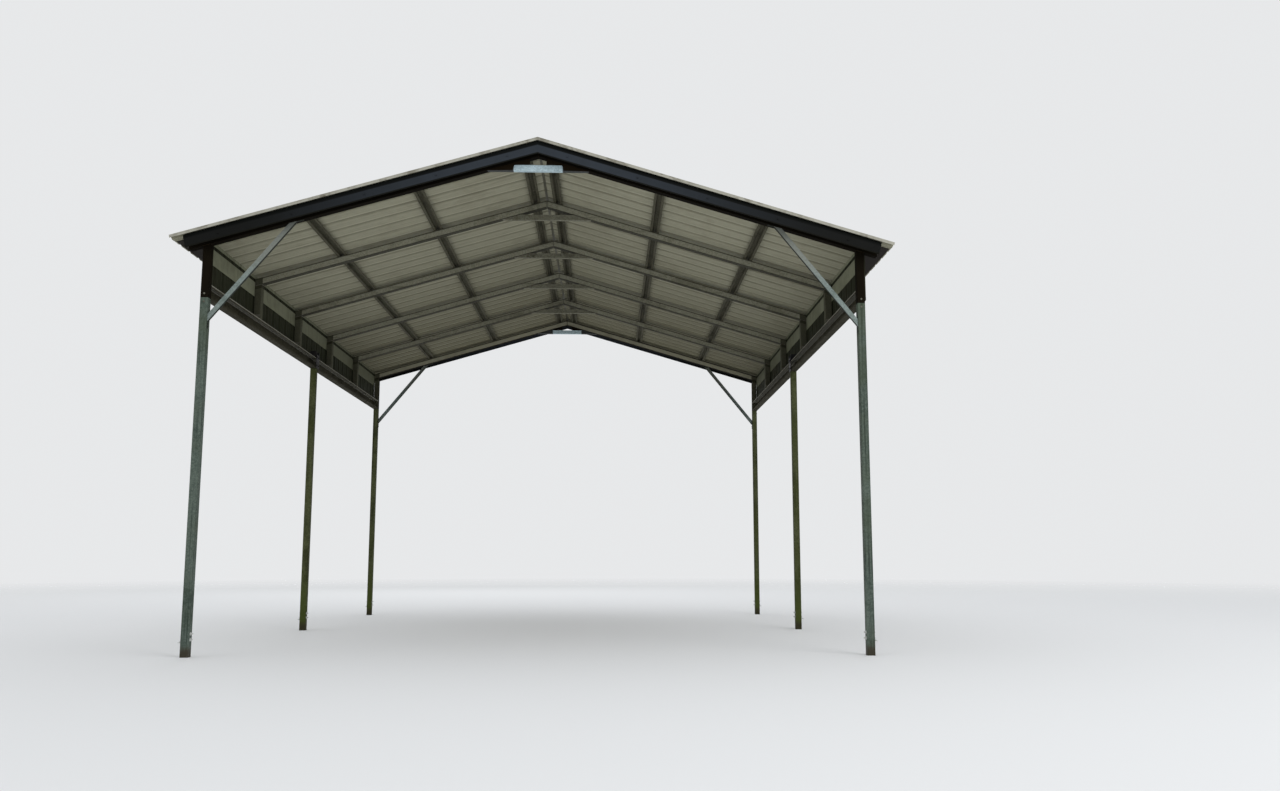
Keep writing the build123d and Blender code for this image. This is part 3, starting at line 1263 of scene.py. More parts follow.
@dataclass(frozen=True, kw_only=True)
class Finish(ABC):
    """A surface finish. Its material is built on its first use and then shared."""

    name: str
    marks: tuple[Union[Mark, RibShading], ...] = ()
    metallic: float = 0.0
    specular: float = 0.4
    relief_strength: float
    relief_depth: float

    def marked(self, board: NodeBoard, place: Socket, colour: Feed) -> Feed:
        """A colour with all of the finish's marks on it."""
        for mark in self.marks:
            colour = mark.laid(board, place, colour)
        return colour

    def material(self) -> bpy.types.Material:
        """The finish as a material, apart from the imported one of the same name.

        Returns:
            The material.
        """
        title = f"{self.name}_finish"
        found = bpy.data.materials.get(title)
        if found:
            return found
        made = bpy.data.materials.new(title)
        made.use_nodes = True
        board = NodeBoard(made.node_tree)
        colour, rough, height = self.surface(board)
        inputs = {"Strength": self.relief_strength, "Distance": self.relief_depth}
        bump = board.node("ShaderNodeBump", {"Height": height, **inputs})
        coat = {
            "Base Color": colour,
            "Roughness": rough,
            "Metallic": self.metallic,
            "Specular IOR Level": self.specular,
            "Normal": bump.outputs["Normal"],
        }
        for name, value in coat.items():
            board.feed(made.node_tree.nodes["Principled BSDF"].inputs[name], value)
        return made

    @abstractmethod
    def surface(self, board: NodeBoard) -> tuple[Socket, Socket, Socket]:
        """Wires the finish's own pattern.

        Args:
            board: a board on the material's tree.

        Returns:
            Its colour, its roughness and the height of its relief.
        """


@dataclass(frozen=True, kw_only=True)
class ZincFinish(Finish):
    """Galvanised steel: spangle, dull patches, rain streaks and soil near the ground."""

    bright: Colour
    dull: Colour
    streak: Colour
    metallic: float = 0.35
    gloss: tuple[float, float] = (0.42, 0.62)
    spangle_scale: float = 95.0
    spangle_contrast: float = 0.7
    patch_scale: float = 3.2
    patch_cover: float = 0.55
    patch_weight: float = 0.55
    stretch: Triple = (70.0, 70.0, 1.4)
    streak_cover: float = 0.5
    streak_weight: float = 0.6
    soil: Colour = (0.060, 0.046, 0.032)
    soil_reach: float = 0.22
    algae: Optional[Colour] = None
    algae_weight: float = 0.6
    grain_weight: float = 0.4
    relief_strength: float = 0.12
    relief_depth: float = 0.0015

    def surface(self, board: NodeBoard) -> tuple[Socket, Socket, Socket]:
        """Wires the zinc's tones, streaks and soil.

        Args:
            board: a board on the material's tree.

        Returns:
            Its colour, its roughness and the height of its relief.
        """
        place = board.node("ShaderNodeTexCoord").outputs["Object"]
        sizes = {"Scale": self.spangle_scale, "Contrast": self.spangle_contrast}
        spangle = board.effect(Effect.SPANGLE, place, **sizes)
        mottle = board.mask(
            Effect.MOTTLE, place, Scale=self.patch_scale, Cover=self.patch_cover
        )
        streaks = board.mask(
            Effect.STREAKS, place, Stretch=self.stretch, Cover=self.streak_cover
        )
        grime = board.mask(Effect.GRIME, place, Reach=self.soil_reach)
        shade = board.minus(spangle["Tone"], board.times(mottle, self.patch_weight))
        colour = board.blended(board.ranged(shade, low=-0.1, high=0.9), self.dull, self.bright)
        colour = board.blended(board.times(streaks, self.streak_weight), colour, self.streak)
        if self.algae:
            patches = board.noise(place, scale=1.7, detail=5.0, roughness=0.6)
            film = board.ranged(patches, low=0.42, high=0.66, to_high=self.algae_weight)
            colour = board.blended(film, colour, self.algae)
        colour = board.blended(grime, self.marked(board, place, colour), self.soil)
        low, high = self.gloss
        rough = board.ranged(board.plus(shade, grime), 0.0, 1.0, to_low=high, to_high=low)
        grain = board.times(board.noise(place, scale=420.0, detail=2.0), self.grain_weight)
        return colour, rough, board.plus(spangle["Height"], grain)


class Facing(Enum):
    """Which faces of a piece count as its outside."""

    UP = "the faces that look up"
    OUTWARD = "the faces that look away from the bay"
    GABLE = "all faces but those that look along the bay, into it"
    ALL = "every face"


@dataclass(frozen=True, kw_only=True)
class PaintFinish(Finish):
    """Coil-coated or painted steel. Only one that faces some way has an inside colour."""

    outside: Colour
    inside: Optional[Colour] = None
    facing: Facing = Facing.ALL
    least_away: float = 0.02
    least_gable: float = -0.9
    worn_share: float = 0.72
    stain: Colour = (0.10, 0.08, 0.06)
    stain_cover: float = 0.6
    stain_weight: float = 0.35
    dust: Colour = (0.30, 0.27, 0.22)
    dust_amount: float = 0.35
    stretch: Triple = (60.0, 60.0, 1.2)
    streak_cover: float = 0.45
    streak_weight: float = 0.35
    patch_scale: float = 1.6
    gloss: tuple[float, float] = (0.34, 0.52)
    dull_at: float = 1.4
    flecks: Colour = (0.28, 0.27, 0.25)
    fleck_amount: float = 0.0
    fleck_scale: float = 55.0
    fleck_weight: float = 0.6
    peel_weight: float = 0.12
    relief_strength: float = 0.18
    relief_depth: float = 0.002

    def worn(self, colour: Colour) -> Colour:
        """The colour where the coat is worn darker."""
        return tuple(part * self.worn_share for part in colour)

    def outside_mask(self, board: NodeBoard, place: Socket, normal: Socket) -> Socket:
        """One on the outside faces and nought on the inside ones.

        Args:
            board: a board on the material's tree.
            place: object coordinates.
            normal: the surface's normal.

        Returns:
            The mask.
        """
        if self.facing is Facing.UP:
            return board.maths("GREATER_THAN", board.parts(normal)[2], self.least_away)
        gable = self.facing is Facing.GABLE
        axis, least = (1, self.least_gable) if gable else (0, self.least_away)
        away = board.times(board.parts(normal)[axis], board.parts(place)[axis])
        return board.maths("GREATER_THAN", away, least)

    def surface(self, board: NodeBoard) -> tuple[Socket, Socket, Socket]:
        """Wires the coats, stains and dust.

        Args:
            board: a board on the material's tree.

        Returns:
            Its colour, its roughness and the height of its relief.
        """
        coordinates = board.node("ShaderNodeTexCoord").outputs
        place, normal = coordinates["Object"], coordinates["Normal"]
        mottle = board.mask(Effect.MOTTLE, place, Scale=self.patch_scale, Cover=self.stain_cover)
        streaks = board.mask(
            Effect.STREAKS, place, Stretch=self.stretch, Cover=self.streak_cover
        )
        dust = board.mask(Effect.DUST, place, Normal=normal, Amount=self.dust_amount)
        patches = board.noise(place, scale=9.0, detail=5.0)
        shade = board.ranged(patches, low=0.3, high=0.7, to_high=0.22)
        coat, worn = self.outside, self.worn(self.outside)
        one_sided = self.facing is not Facing.ALL
        if one_sided:
            mask = self.outside_mask(board, place, normal)
            coat = board.blended(mask, self.inside, coat)
            worn = board.blended(mask, self.worn(self.inside), worn)
        colour = board.blended(shade, coat, worn)
        colour = board.blended(board.times(mottle, self.stain_weight), colour, self.stain)
        colour = board.blended(board.times(streaks, self.streak_weight), colour, self.stain)
        marked = self.marked(board, place, colour)
        colour = board.blended(mask, marked, colour) if one_sided else marked
        colour = board.blended(dust, colour, self.dust)
        if self.fleck_amount:
            sizes = {"Scale": self.fleck_scale, "Amount": self.fleck_amount}
            spots = board.times(board.mask(Effect.FLECKS, place, **sizes), self.fleck_weight)
            colour = board.blended(spots, colour, self.flecks)
        rough = board.ranged(board.plus(mottle, dust), 0.0, self.dull_at, *self.gloss)
        peel = board.times(board.noise(place, scale=260.0, detail=3.0), self.peel_weight)
        wave = board.noise(place, scale=14.0, detail=2.0)
        return colour, rough, board.plus(peel, wave)


@dataclass(frozen=True, kw_only=True)
class FoamFinish(Finish):
    """Closed-cell foam or moulded plastic, nearly black and a little dusty."""

    colour: Colour
    dust: Colour = (0.22, 0.20, 0.17)
    dust_amount: float = 0.3
    pore_scale: float = 700.0
    rough: float = 0.8
    worn_rough: float = 0.95
    pale_share: float = 1.8
    pale_lift: float = 0.004
    specular: float = 0.25
    relief_strength: float = 0.3
    relief_depth: float = 0.0006

    def surface(self, board: NodeBoard) -> tuple[Socket, Socket, Socket]:
        """Wires the pores and the dust.

        Args:
            board: a board on the material's tree.

        Returns:
            Its colour, its roughness and the height of its relief.
        """
        coordinates = board.node("ShaderNodeTexCoord").outputs
        place, normal = coordinates["Object"], coordinates["Normal"]
        dust = board.mask(Effect.DUST, place, Normal=normal, Amount=self.dust_amount)
        shade = board.ranged(board.noise(place, scale=40.0), low=0.3, high=0.7)
        paler = tuple(part * self.pale_share + self.pale_lift for part in self.colour)
        colour = board.blended(dust, board.blended(shade, self.colour, paler), self.dust)
        rough = board.ranged(shade, 0.0, 1.0, to_low=self.rough, to_high=self.worn_rough)
        return colour, rough, board.cells(place, self.pore_scale)["Distance"]


ALONG_SLOPE = (1.6, 46.0, 1.6)
UPRIGHT = (60.0, 60.0, 1.3)
ALONG_BAY = (60.0, 1.3, 60.0)
ALONG_BRACE = (9.0, 60.0, 9.0)
DOWN_POST = (95.0, 95.0, 0.9)
FIRST_RIB = -3.151
ROOF_RIB_PITCH = 0.18388

# Curve between a display's tones and linear light
TONE_TOP = 255.0
TONE_LIFT = 0.055
TONE_POWER = 2.4


def tone(red: float, green: float, blue: float) -> Colour:
    """Linear colour of a display tone whose parts run from 0 to 255."""
    parts = (np.array([red, green, blue]) / TONE_TOP + TONE_LIFT) / (1.0 + TONE_LIFT)
    return tuple(float(part) for part in parts**TONE_POWER)


# Shaded corner under the sheets, and the shaded underside, of every rafter
RAFTER_CORNER = Mark(Measure.ROOF_LINE, 4.190, 4.24, tone(40, 38, 28), 0.8)
RAFTER_FOOT = Mark(Measure.ROOF_LINE, 4.10, 4.1405, tone(30, 28, 20), 0.85, soft=0.002)
STUB_SHADE = Mark(Measure.ACROSS, 2.672, 2.90, tone(52, 52, 38), 0.85, soft=0.004)

GABLE_BOW = PaintFinish(
    name="gable_bow_steel",
    outside=tone(18, 15, 9),
    inside=tone(162, 159, 139),
    facing=Facing.GABLE,
    stain=tone(34, 28, 19),
    stain_weight=0.25,
    dust=tone(60, 56, 46),
    dust_amount=0.1,
    stretch=ALONG_SLOPE,
    gloss=(0.75, 0.9),
    specular=0.02,
    marks=(RAFTER_CORNER, RAFTER_FOOT, STUB_SHADE),
)
GUSSET = PaintFinish(
    name="gusset_steel",
    outside=tone(32, 25, 16),
    stain=tone(44, 34, 22),
    stretch=ALONG_SLOPE,
    gloss=(0.75, 0.9),
    specular=0.02,
)
INNER_BOW = ZincFinish(
    name="inner_bow_steel",
    bright=tone(152, 151, 134),
    dull=tone(116, 114, 98),
    streak=tone(84, 82, 66),
    stretch=(2.2, 60.0, 34.0),
    streak_weight=0.45,
    metallic=0.0,
    gloss=(0.65, 0.85),
    specular=0.06,
    patch_scale=2.1,
    marks=(RAFTER_CORNER, RAFTER_FOOT, STUB_SHADE),
)
KNEE_STEEL = ZincFinish(
    name="knee_brace_steel",
    bright=tone(132, 143, 139),
    dull=tone(98, 108, 103),
    streak=tone(66, 72, 68),
    stretch=ALONG_BRACE,
    streak_cover=0.3,
    metallic=0.05,
    gloss=(0.6, 0.8),
    specular=0.1,
    marks=(
        # Duller and warmer up towards the rafter: painted shade under the roof.
        Mark(Measure.HEIGHT, 3.16, 4.0, tone(122, 121, 112), 0.6, soft=0.14),
        # Dark line along the brace's lower inner edge: painted shade on its flange.
        Mark(Measure.KNEE_LINE, -3.7745, -3.70, tone(26, 27, 20), 0.9, soft=0.001),
    ),
)
# The gable peak braces: their bright bluish tone is painted skylight, and their ends beyond 0.206
# m from the middle are darkened.
SKYLIT_PEAK_STEEL = ZincFinish(
    name="peak_brace_steel",
    bright=tone(197, 217, 223),
    dull=tone(153, 173, 180),
    streak=tone(100, 112, 114),
    stretch=ALONG_BRACE,
    streak_cover=0.3,
    metallic=0.05,
    gloss=(0.5, 0.7),
    specular=0.2,
    marks=(Mark(Measure.ACROSS, 0.206, 1.0, tone(30, 24, 16), 0.94, soft=0.006),),
)
INNER_PEAK_STEEL = ZincFinish(
    name="inner_peak_brace_steel",
    bright=tone(128, 127, 112),
    dull=tone(92, 90, 75),
    streak=tone(60, 57, 46),
    stretch=ALONG_BRACE,
    metallic=0.0,
    gloss=(0.65, 0.85),
    specular=0.06,
)
POST = ZincFinish(
    name="post_steel",
    bright=tone(98, 109, 100),
    dull=tone(60, 71, 64),
    streak=tone(40, 50, 45),
    stretch=DOWN_POST,
    streak_cover=0.74,
    streak_weight=0.8,
    metallic=0.05,
    gloss=(0.55, 0.75),
    specular=0.12,
    algae=tone(64, 72, 54),
    soil=tone(60, 57, 46),
    soil_reach=0.07,
)
# The middle and rear posts: greener with algae, which is their own, and darker than the front
# posts, which is painted shade.
MOSSY_SHADED_POST = ZincFinish(
    name="shaded_post_steel",
    bright=tone(84, 88, 60),
    dull=tone(54, 58, 36),
    streak=tone(36, 38, 22),
    stretch=DOWN_POST,
    streak_cover=0.7,
    streak_weight=0.75,
    metallic=0.0,
    gloss=(0.6, 0.8),
    specular=0.06,
    algae=tone(58, 63, 30),
    soil=tone(52, 50, 34),
    soil_reach=0.08,
    marks=(Mark(Measure.HEIGHT, -1.0, 0.45, tone(60, 70, 26), 0.7, soft=0.3, ragged=0.5),),
)
PURLIN = ZincFinish(
    name="purlin_steel",
    bright=tone(86, 84, 70),
    dull=tone(60, 58, 46),
    streak=tone(36, 34, 25),
    stretch=(60.0, 1.8, 60.0),
    metallic=0.0,
    gloss=(0.65, 0.85),
    specular=0.05,
)
RAIL = ZincFinish(
    name="rail_steel",
    bright=tone(66, 63, 50),
    dull=tone(44, 42, 31),
    streak=tone(28, 26, 18),
    stretch=ALONG_BAY,
    metallic=0.0,
    gloss=(0.65, 0.85),
    specular=0.04,
    patch_cover=0.7,
    marks=(
        Mark(Measure.HEIGHT, 2.80, 2.904, tone(58, 56, 46), 0.6, soft=0.002, ragged=0.012),
        # Lighter band along the rail's top edge: a painted highlight on its lip.
        Mark(Measure.HEIGHT, 3.0005, 3.10, tone(136, 134, 124), 0.85, soft=0.002, ragged=0.010),
    ),
)
BRACKET = PaintFinish(
    name="bracket_steel",
    outside=tone(34, 34, 36),
    stain=tone(50, 42, 34),
    dust=tone(84, 80, 70),
    stretch=UPRIGHT,
    gloss=(0.5, 0.7),
    specular=0.2,
    fleck_amount=0.2,
    flecks=tone(80, 72, 60),
)
ROOF_SHEET = PaintFinish(
    name="roof_sheet",
    outside=tone(198, 197, 188),
    inside=tone(154, 152, 132),
    facing=Facing.UP,
    stain=tone(104, 97, 80),
    stain_weight=0.24,
    dust=tone(158, 154, 140),
    dust_amount=0.2,
    stretch=ALONG_SLOPE,
    streak_cover=0.5,
    streak_weight=0.3,
    gloss=(0.6, 0.8),
    specular=0.05,
    fleck_amount=0.1,
    flecks=tone(100, 90, 74),
    marks=(
        # Darker towards the rear: painted shade.
        Mark(Measure.DEPTH, 0.0, 9.0, tone(104, 101, 82), 0.9, soft=2.8),
        # Painted shade in the ribs' grooves and a painted highlight beside each rib.
        RibShading(FIRST_RIB, ROOF_RIB_PITCH, tone(92, 90, 74), tone(176, 174, 153)),
    ),
)
RIDGE_CAP = PaintFinish(
    name="ridge_cap",
    outside=tone(194, 193, 184),
    inside=tone(110, 108, 92),
    facing=Facing.UP,
    stain=tone(120, 110, 92),
    stretch=ALONG_SLOPE,
    dust=tone(150, 145, 130),
    gloss=(0.5, 0.68),
    specular=0.2,
    fleck_amount=0.1,
    flecks=tone(100, 90, 74),
)
SHEET_EDGE = PaintFinish(
    name="sheet_edge",
    outside=tone(162, 160, 148),
    stain=tone(86, 80, 64),
    stain_weight=0.6,
    stretch=(9.0, 46.0, 9.0),
    streak_cover=0.6,
    streak_weight=0.6,
    dust=tone(150, 145, 130),
    patch_scale=4.5,
    gloss=(0.5, 0.68),
    specular=0.2,
)
# Charcoal trim whose bluish face is a painted sky reflection.
RAKE_TRIM = PaintFinish(
    name="rake_trim",
    outside=tone(49, 54, 60),
    stain=tone(40, 42, 42),
    dust=tone(92, 92, 90),
    dust_amount=0.2,
    stretch=ALONG_SLOPE,
    gloss=(0.6, 0.8),
    specular=0.06,
    fleck_amount=0.05,
    flecks=tone(90, 90, 88),
    marks=(
        # Darker towards the eaves, so the painted sky reflection shows near the ridge only:
        # painted shade.
        Mark(Measure.ACROSS, 1.45, 9.0, tone(15, 15, 12), 0.94, soft=1.15),
        # Black neck under the sheet's edge: painted shadow.
        Mark(Measure.ROOF_LINE, 4.194, 4.30, tone(10, 12, 10), 0.95, soft=0.003),
        # Dark band along the face's foot: painted shade.
        Mark(Measure.ROOF_LINE, 4.0, 4.130, tone(17, 17, 11), 0.92, soft=0.003),
    ),
)
SIDE_PANEL = PaintFinish(
    name="side_panel",
    outside=tone(48, 49, 53),
    inside=tone(44, 46, 34),
    facing=Facing.OUTWARD,
    stain=tone(56, 52, 42),
    dust=tone(90, 86, 76),
    stretch=UPRIGHT,
    gloss=(0.7, 0.85),
    specular=0.04,
    fleck_amount=0.08,
    flecks=tone(78, 72, 62),
)
# Dark sheet under each eave, outside the side panel: painted shade.
SHADE_SOFFIT = PaintFinish(
    name="eave_shade_soffit",
    outside=tone(32, 25, 18),
    stain=tone(46, 38, 28),
    stretch=ALONG_SLOPE,
    gloss=(0.6, 0.8),
    specular=0.1,
)
EAVE_STRIP = PaintFinish(
    name="eave_strip",
    outside=tone(126, 128, 108),
    stain=tone(76, 74, 56),
    stretch=UPRIGHT,
    streak_cover=0.6,
    streak_weight=0.5,
    gloss=(0.65, 0.85),
    specular=0.04,
    # Darker towards the rear: painted shade.
    marks=(Mark(Measure.DEPTH, 0.0, 9.0, tone(86, 87, 70), 0.9, soft=2.8),),
)
FIXING_ZINC = ZincFinish(
    name="fixing_zinc",
    bright=tone(205, 207, 203),
    dull=tone(162, 164, 160),
    streak=tone(110, 100, 84),
    metallic=0.1,
    gloss=(0.4, 0.6),
    streak_cover=0.2,
    soil_reach=0.02,
)
INNER_FIXING = ZincFinish(
    name="shaded_fixing_zinc",
    bright=tone(110, 108, 96),
    dull=tone(78, 76, 64),
    streak=tone(58, 50, 38),
    metallic=0.2,
    gloss=(0.45, 0.65),
    soil_reach=0.02,
)
WELD_METAL = ZincFinish(
    name="weld_metal",
    bright=tone(96, 94, 82),
    dull=tone(64, 61, 50),
    streak=tone(74, 52, 36),
    metallic=0.2,
    gloss=(0.45, 0.65),
    streak_cover=0.6,
)
CLOSURE_FOAM = FoamFinish(name="closure_foam", colour=(0.085, 0.085, 0.080))
CAP_PLASTIC = FoamFinish(
    name="cap_plastic", colour=(0.008, 0.0075, 0.007), pore_scale=260.0, rough=0.7
)


Piece = tuple[Shell, Finish, Optional[str]]


@dataclass
class Dress(ABC):
    """What a sub-assembly adds to the frame, and the finishes of its nodes."""

    places: FrameMap
    draws: np.random.Generator

    def add_sided(self, side: Side, pieces: dict[str, Piece]) -> None:
        """Makes pieces of the right side, by name, on one side."""
        for name, (shell, finish, slot) in pieces.items():
            add_piece(f"{side.label}_{name}", shell.on(side), finish)

    @abstractmethod
    def build(self) -> None:
        """Makes the pieces and dresses the nodes."""


@dataclass
class RoofDress(Dress):
    """Screws, side laps and gable edges of the sheets, dark sheets under the eaves as painted
    shade, and the purlins' screws.
    """

    side_lap: SideLap = SideLap()
    lap_start_share: float = 0.6
    screw_stray: float = 0.004
    edge_wall: float = 0.001
    edge_stand: float = 0.0015
    edge_fold: float = 0.0115
    edge_step: float = 0.0030
    edge_top: float = 0.0245
    edge_rest: float = 0.036
    shade_soffit_reach: tuple[float, float] = (2.7690, 2.9640)
    shade_soffit_half_length: float = 3.044
    shade_soffit_leg: float = 0.012
    shade_soffit_wall: float = 0.0015

    def screws(self) -> Shell:
        """One screw in each pan beside its rib, on each purlin's line.

        Returns:
            All the right slope's screws.
        """
        downs = np.array(list(self.places.purlin_downs.values()))
        pans = screw_places(self.places.sheet_feet)
        down, along = np.meshgrid(downs, pans, indexing="ij")
        down = down + self.draws.uniform(-1.0, 1.0, down.shape) * self.screw_stray
        along = along + self.draws.uniform(-1.0, 1.0, down.shape) * self.screw_stray
        origins = self.places.roof_points(down, along, SHEET_WALL).reshape(-1, 3)
        return fixings(SHEET_SCREW, origins, self.places.roof_normal, self.draws)

    def laps(self) -> Shell:
        """The upper sheet's edge, folded over every fourth rib from cap to eave.

        Returns:
            The right slope's laps.
        """
        places = self.places
        start = CAP_WING * self.lap_start_share
        stations = np.array([start, places.sheet_end_down - SKIN_GAP])
        return self.side_lap.shell(places.sheet_feet, stations, places.across_slope)

    def purlin_screws(self) -> Shell:
        """Two screws through each purlin's flanges at each bow.

        Returns:
            All the right slope's screws.
        """
        downs = np.array(list(self.places.purlin_downs.values()))
        beside = BOTH_WAYS * PURLIN_FLANGE_PLACE
        middles = np.array(list(self.places.bow_starts.values())) + self.places.tube / 2
        down, along = np.meshgrid((downs[:, None] + beside).ravel(), middles, indexing="ij")
        origins = self.places.roof_points(down, along, PURLIN_WALL - PURLIN_HEIGHT)
        return fixings(FRAME_SCREW, origins.reshape(-1, 3), self.places.roof_normal, self.draws)

    def gable_edge(self) -> Shell:
        """Light angle over the right sheet's front edge, cut upright at the ridge.

        Its face has one fold along its middle, and its top leans back to the first rib.

        Returns:
            The closed shell.
        """
        start = self.places.sheet_ends[0]
        front = start - self.edge_stand
        back = front + self.edge_step
        cap_top = SHEET_WALL + RIB_HEIGHT + CAP_WALL + SKIN_GAP
        line = np.array(
            [
                [front, -self.edge_wall],
                [front, self.edge_fold],
                [back, self.edge_fold + self.edge_step / 2],
                [back, self.edge_top],
                [back + self.edge_step, self.edge_top + self.edge_wall],
                [start + self.edge_rest, cap_top],
            ]
        )
        outline = folded_outline(line, self.edge_wall)
        stations = self.places.from_ridge(outline, self.places.sheet_end_down)
        return folded_shell(swept(outline, stations, self.places.across_slope))

    def shade_soffit(self) -> Shell:
        """Dark sheet under the right eave, put there as painted shade, with a leg on the side
        panel.

        Returns:
            The closed shell.
        """
        near, far = np.array(self.shade_soffit_reach) / self.places.cosine
        level = -SKIN_GAP - self.shade_soffit_wall
        line = np.array([[near, level - self.shade_soffit_leg], [near, level], [far, level]])
        stations = BOTH_WAYS * self.shade_soffit_half_length
        return folded_sheet(line, self.shade_soffit_wall, stations, self.places.along_slope)

    def build(self) -> None:
        """Makes and dresses both slopes."""
        pieces = {
            "roof_screws": (self.screws(), ROOF_SHEET, "roof_sheet"),
            "roof_laps": (self.laps(), ROOF_SHEET, "roof_sheet"),
            "purlin_screws": (self.purlin_screws(), INNER_FIXING, "purlin_steel"),
            "eave_shade_soffit": (self.shade_soffit(), SHADE_SOFFIT, "side_panel"),
        }
        gable_edge = self.gable_edge()
        for side in Side:
            dress_node(f"{side.label}_roof_sheet", ROOF_SHEET)
            for name in PURLIN_NAMES:
                dress_node(f"{side.label}_{name}_purlin", PURLIN)
            self.add_sided(side, pieces)
            for gable in Gable:
                name = f"{gable.label}_{side.label}_sheet_edge"
                add_piece(name, gable_edge.on(side, gable), SHEET_EDGE)


@dataclass
class RidgeDress(Dress):
    """Rolled edges, screws, laps and foam closures of the ridge cap."""

    hem_radius: float = 0.0035
    screw_from_edge: float = 0.022
    closure_from_edge: float = 0.014
    closure_depth: float = 0.024
    lap_places: tuple[float, float] = (-1.05, 1.05)
    lap_length: float = 0.075
    lap_wall: float = 0.001
    rib_top: float = RIB_HEIGHT + SHEET_WALL
    cap_top: float = RIB_HEIGHT + SHEET_WALL + CAP_WALL

    def hem(self) -> Shell:
        """Rolled edge under the right wing.

        Returns:
            The closed shell.
        """
        centre = (CAP_WING, self.cap_top - self.hem_radius)
        stations = np.array(self.places.sheet_ends)
        return round_bar(centre, self.hem_radius, stations, self.places.along_slope)

    def screws(self) -> Shell:
        """A screw through the right wing into each rib.

        Returns:
            All the right wing's screws.
        """
        along = self.places.sheet_feet + RIB_BASE / 2
        origins = self.places.roof_points(CAP_WING - self.screw_from_edge, along, self.cap_top)
        return fixings(SHEET_SCREW, origins, self.places.roof_normal, self.draws)

    def closures(self) -> Shell:
        """Foam between each pan and the right wing, flared as the ribs are.

        Returns:
            One shell with every piece.
        """
        shoulder = (RIB_BASE - RIB_TOP) / 2
        stations = CAP_WING - self.closure_from_edge - np.array([self.closure_depth, 0.0])
        low, high = SHEET_WALL, self.rib_top
        shells = []
        feet = self.places.sheet_feet
        for foot, following in zip(feet[:-1], feet[1:]):
            near, far = foot + RIB_BASE, following
            corners = [[near - shoulder, high], [near, low], [far, low], [far + shoulder, high]]
            rings = swept(np.array(corners), stations, self.places.across_slope)
            shells.append(folded_shell(rings))
        return Shell.joined(shells)

    def laps(self) -> Shell:
        """A sleeve over the cap where two lengths meet, bent over the ridge.

        Returns:
            One shell with both sleeves.
        """
        apex = self.places.sheet_apex + (self.cap_top + SKIN_GAP) / self.places.cosine
        wing = CAP_WING * self.places.cosine
        eave = apex - self.places.slope * wing
        line = np.array([[wing, eave], [0.0, apex], [-wing, eave]])
        half = self.lap_length / 2
        return Shell.joined(
            [
                upright_sheet(line, -self.lap_wall, middle - half, middle + half)
                for middle in self.lap_places
            ]
        )

    def build(self) -> None:
        """Makes and dresses the ridge."""
        dress_node("ridge_cap", RIDGE_CAP)
        pieces = {
            "ridge_hem": (self.hem(), RIDGE_CAP, "ridge_cap"),
            "ridge_screws": (self.screws(), RIDGE_CAP, "ridge_cap"),
            "ridge_closure": (self.closures(), CLOSURE_FOAM, None),
        }
        add_piece("ridge_cap_laps", self.laps(), RIDGE_CAP)
        for side in Side:
            self.add_sided(side, pieces)


@dataclass
class RakeDress(Dress):
    """Hems, laps and screws of the four rake trims."""

    hem_radius: float = 0.0032
    hem_points: int = 12
    lap_down: float = 1.46
    lap_length: float = 0.06
    lap_wall: float = 0.001
    lap_foot: tuple[float, float] = (0.006, 0.002)
    screw_first: float = 0.28
    screw_spacing: float = 0.61
    foot: float = -TRIM_NECK - TRIM_FACE

    @property
    def face(self) -> float:
        """Y of the front trims' faces."""
        return box_corners("front_right_rake_trim")[0][1]

    @property
    def end(self) -> float:
        """Distance from the ridge down to the trims' ends."""
        return box_corners("front_right_rake_trim")[1][0] / self.places.cosine

    def hem(self) -> Shell:
        """Rolled lower edge of the front right trim, cut upright at the ridge.

        Returns:
            The closed shell.
        """
        centre = np.array([self.face + self.hem_radius, self.foot])
        ring = circle(self.hem_points) * self.hem_radius + centre
        stations = self.places.from_ridge(ring, self.end)
        return round_shell(swept(ring, stations, self.places.across_slope))

    def lap(self) -> Shell:
        """Sleeve over the front right trim where two lengths meet.

        Returns:
            The closed shell.
        """
        neck = self.face + TRIM_STEP
        back, down = self.lap_foot
        line = np.array(
            [
                [neck, -2 * self.lap_wall],
                [neck, -TRIM_NECK],
                [self.face, -TRIM_NECK],
                [self.face, self.foot],
                [self.face + back, self.foot - down],
            ]
        )
        line[:, 0] -= SKIN_GAP
        stations = self.lap_down + BOTH_WAYS / 2 * self.lap_length
        return folded_sheet(line, -self.lap_wall, stations, self.places.across_slope)

    def screws(self) -> Shell:
        """Screws along the middle of the front right trim's face.

        Returns:
            One shell with all of them.
        """
        downs = np.arange(self.screw_first, self.end, self.screw_spacing)
        origins = self.places.roof_points(downs, self.face, -TRIM_NECK - TRIM_FACE / 2)
        return fixings(SHEET_SCREW, origins, FRONTWARDS, self.draws)

    def build(self) -> None:
        """Makes and dresses the trims of both gables."""
        pieces = {"hem": self.hem(), "lap": self.lap(), "screws": self.screws()}
        for gable in Gable:
            for side in Side:
                stem = f"{gable.label}_{side.label}_rake"
                dress_node(f"{stem}_trim", RAKE_TRIM)
                for name, shell in pieces.items():
                    add_piece(f"{stem}_{name}", shell.on(side, gable), RAKE_TRIM)


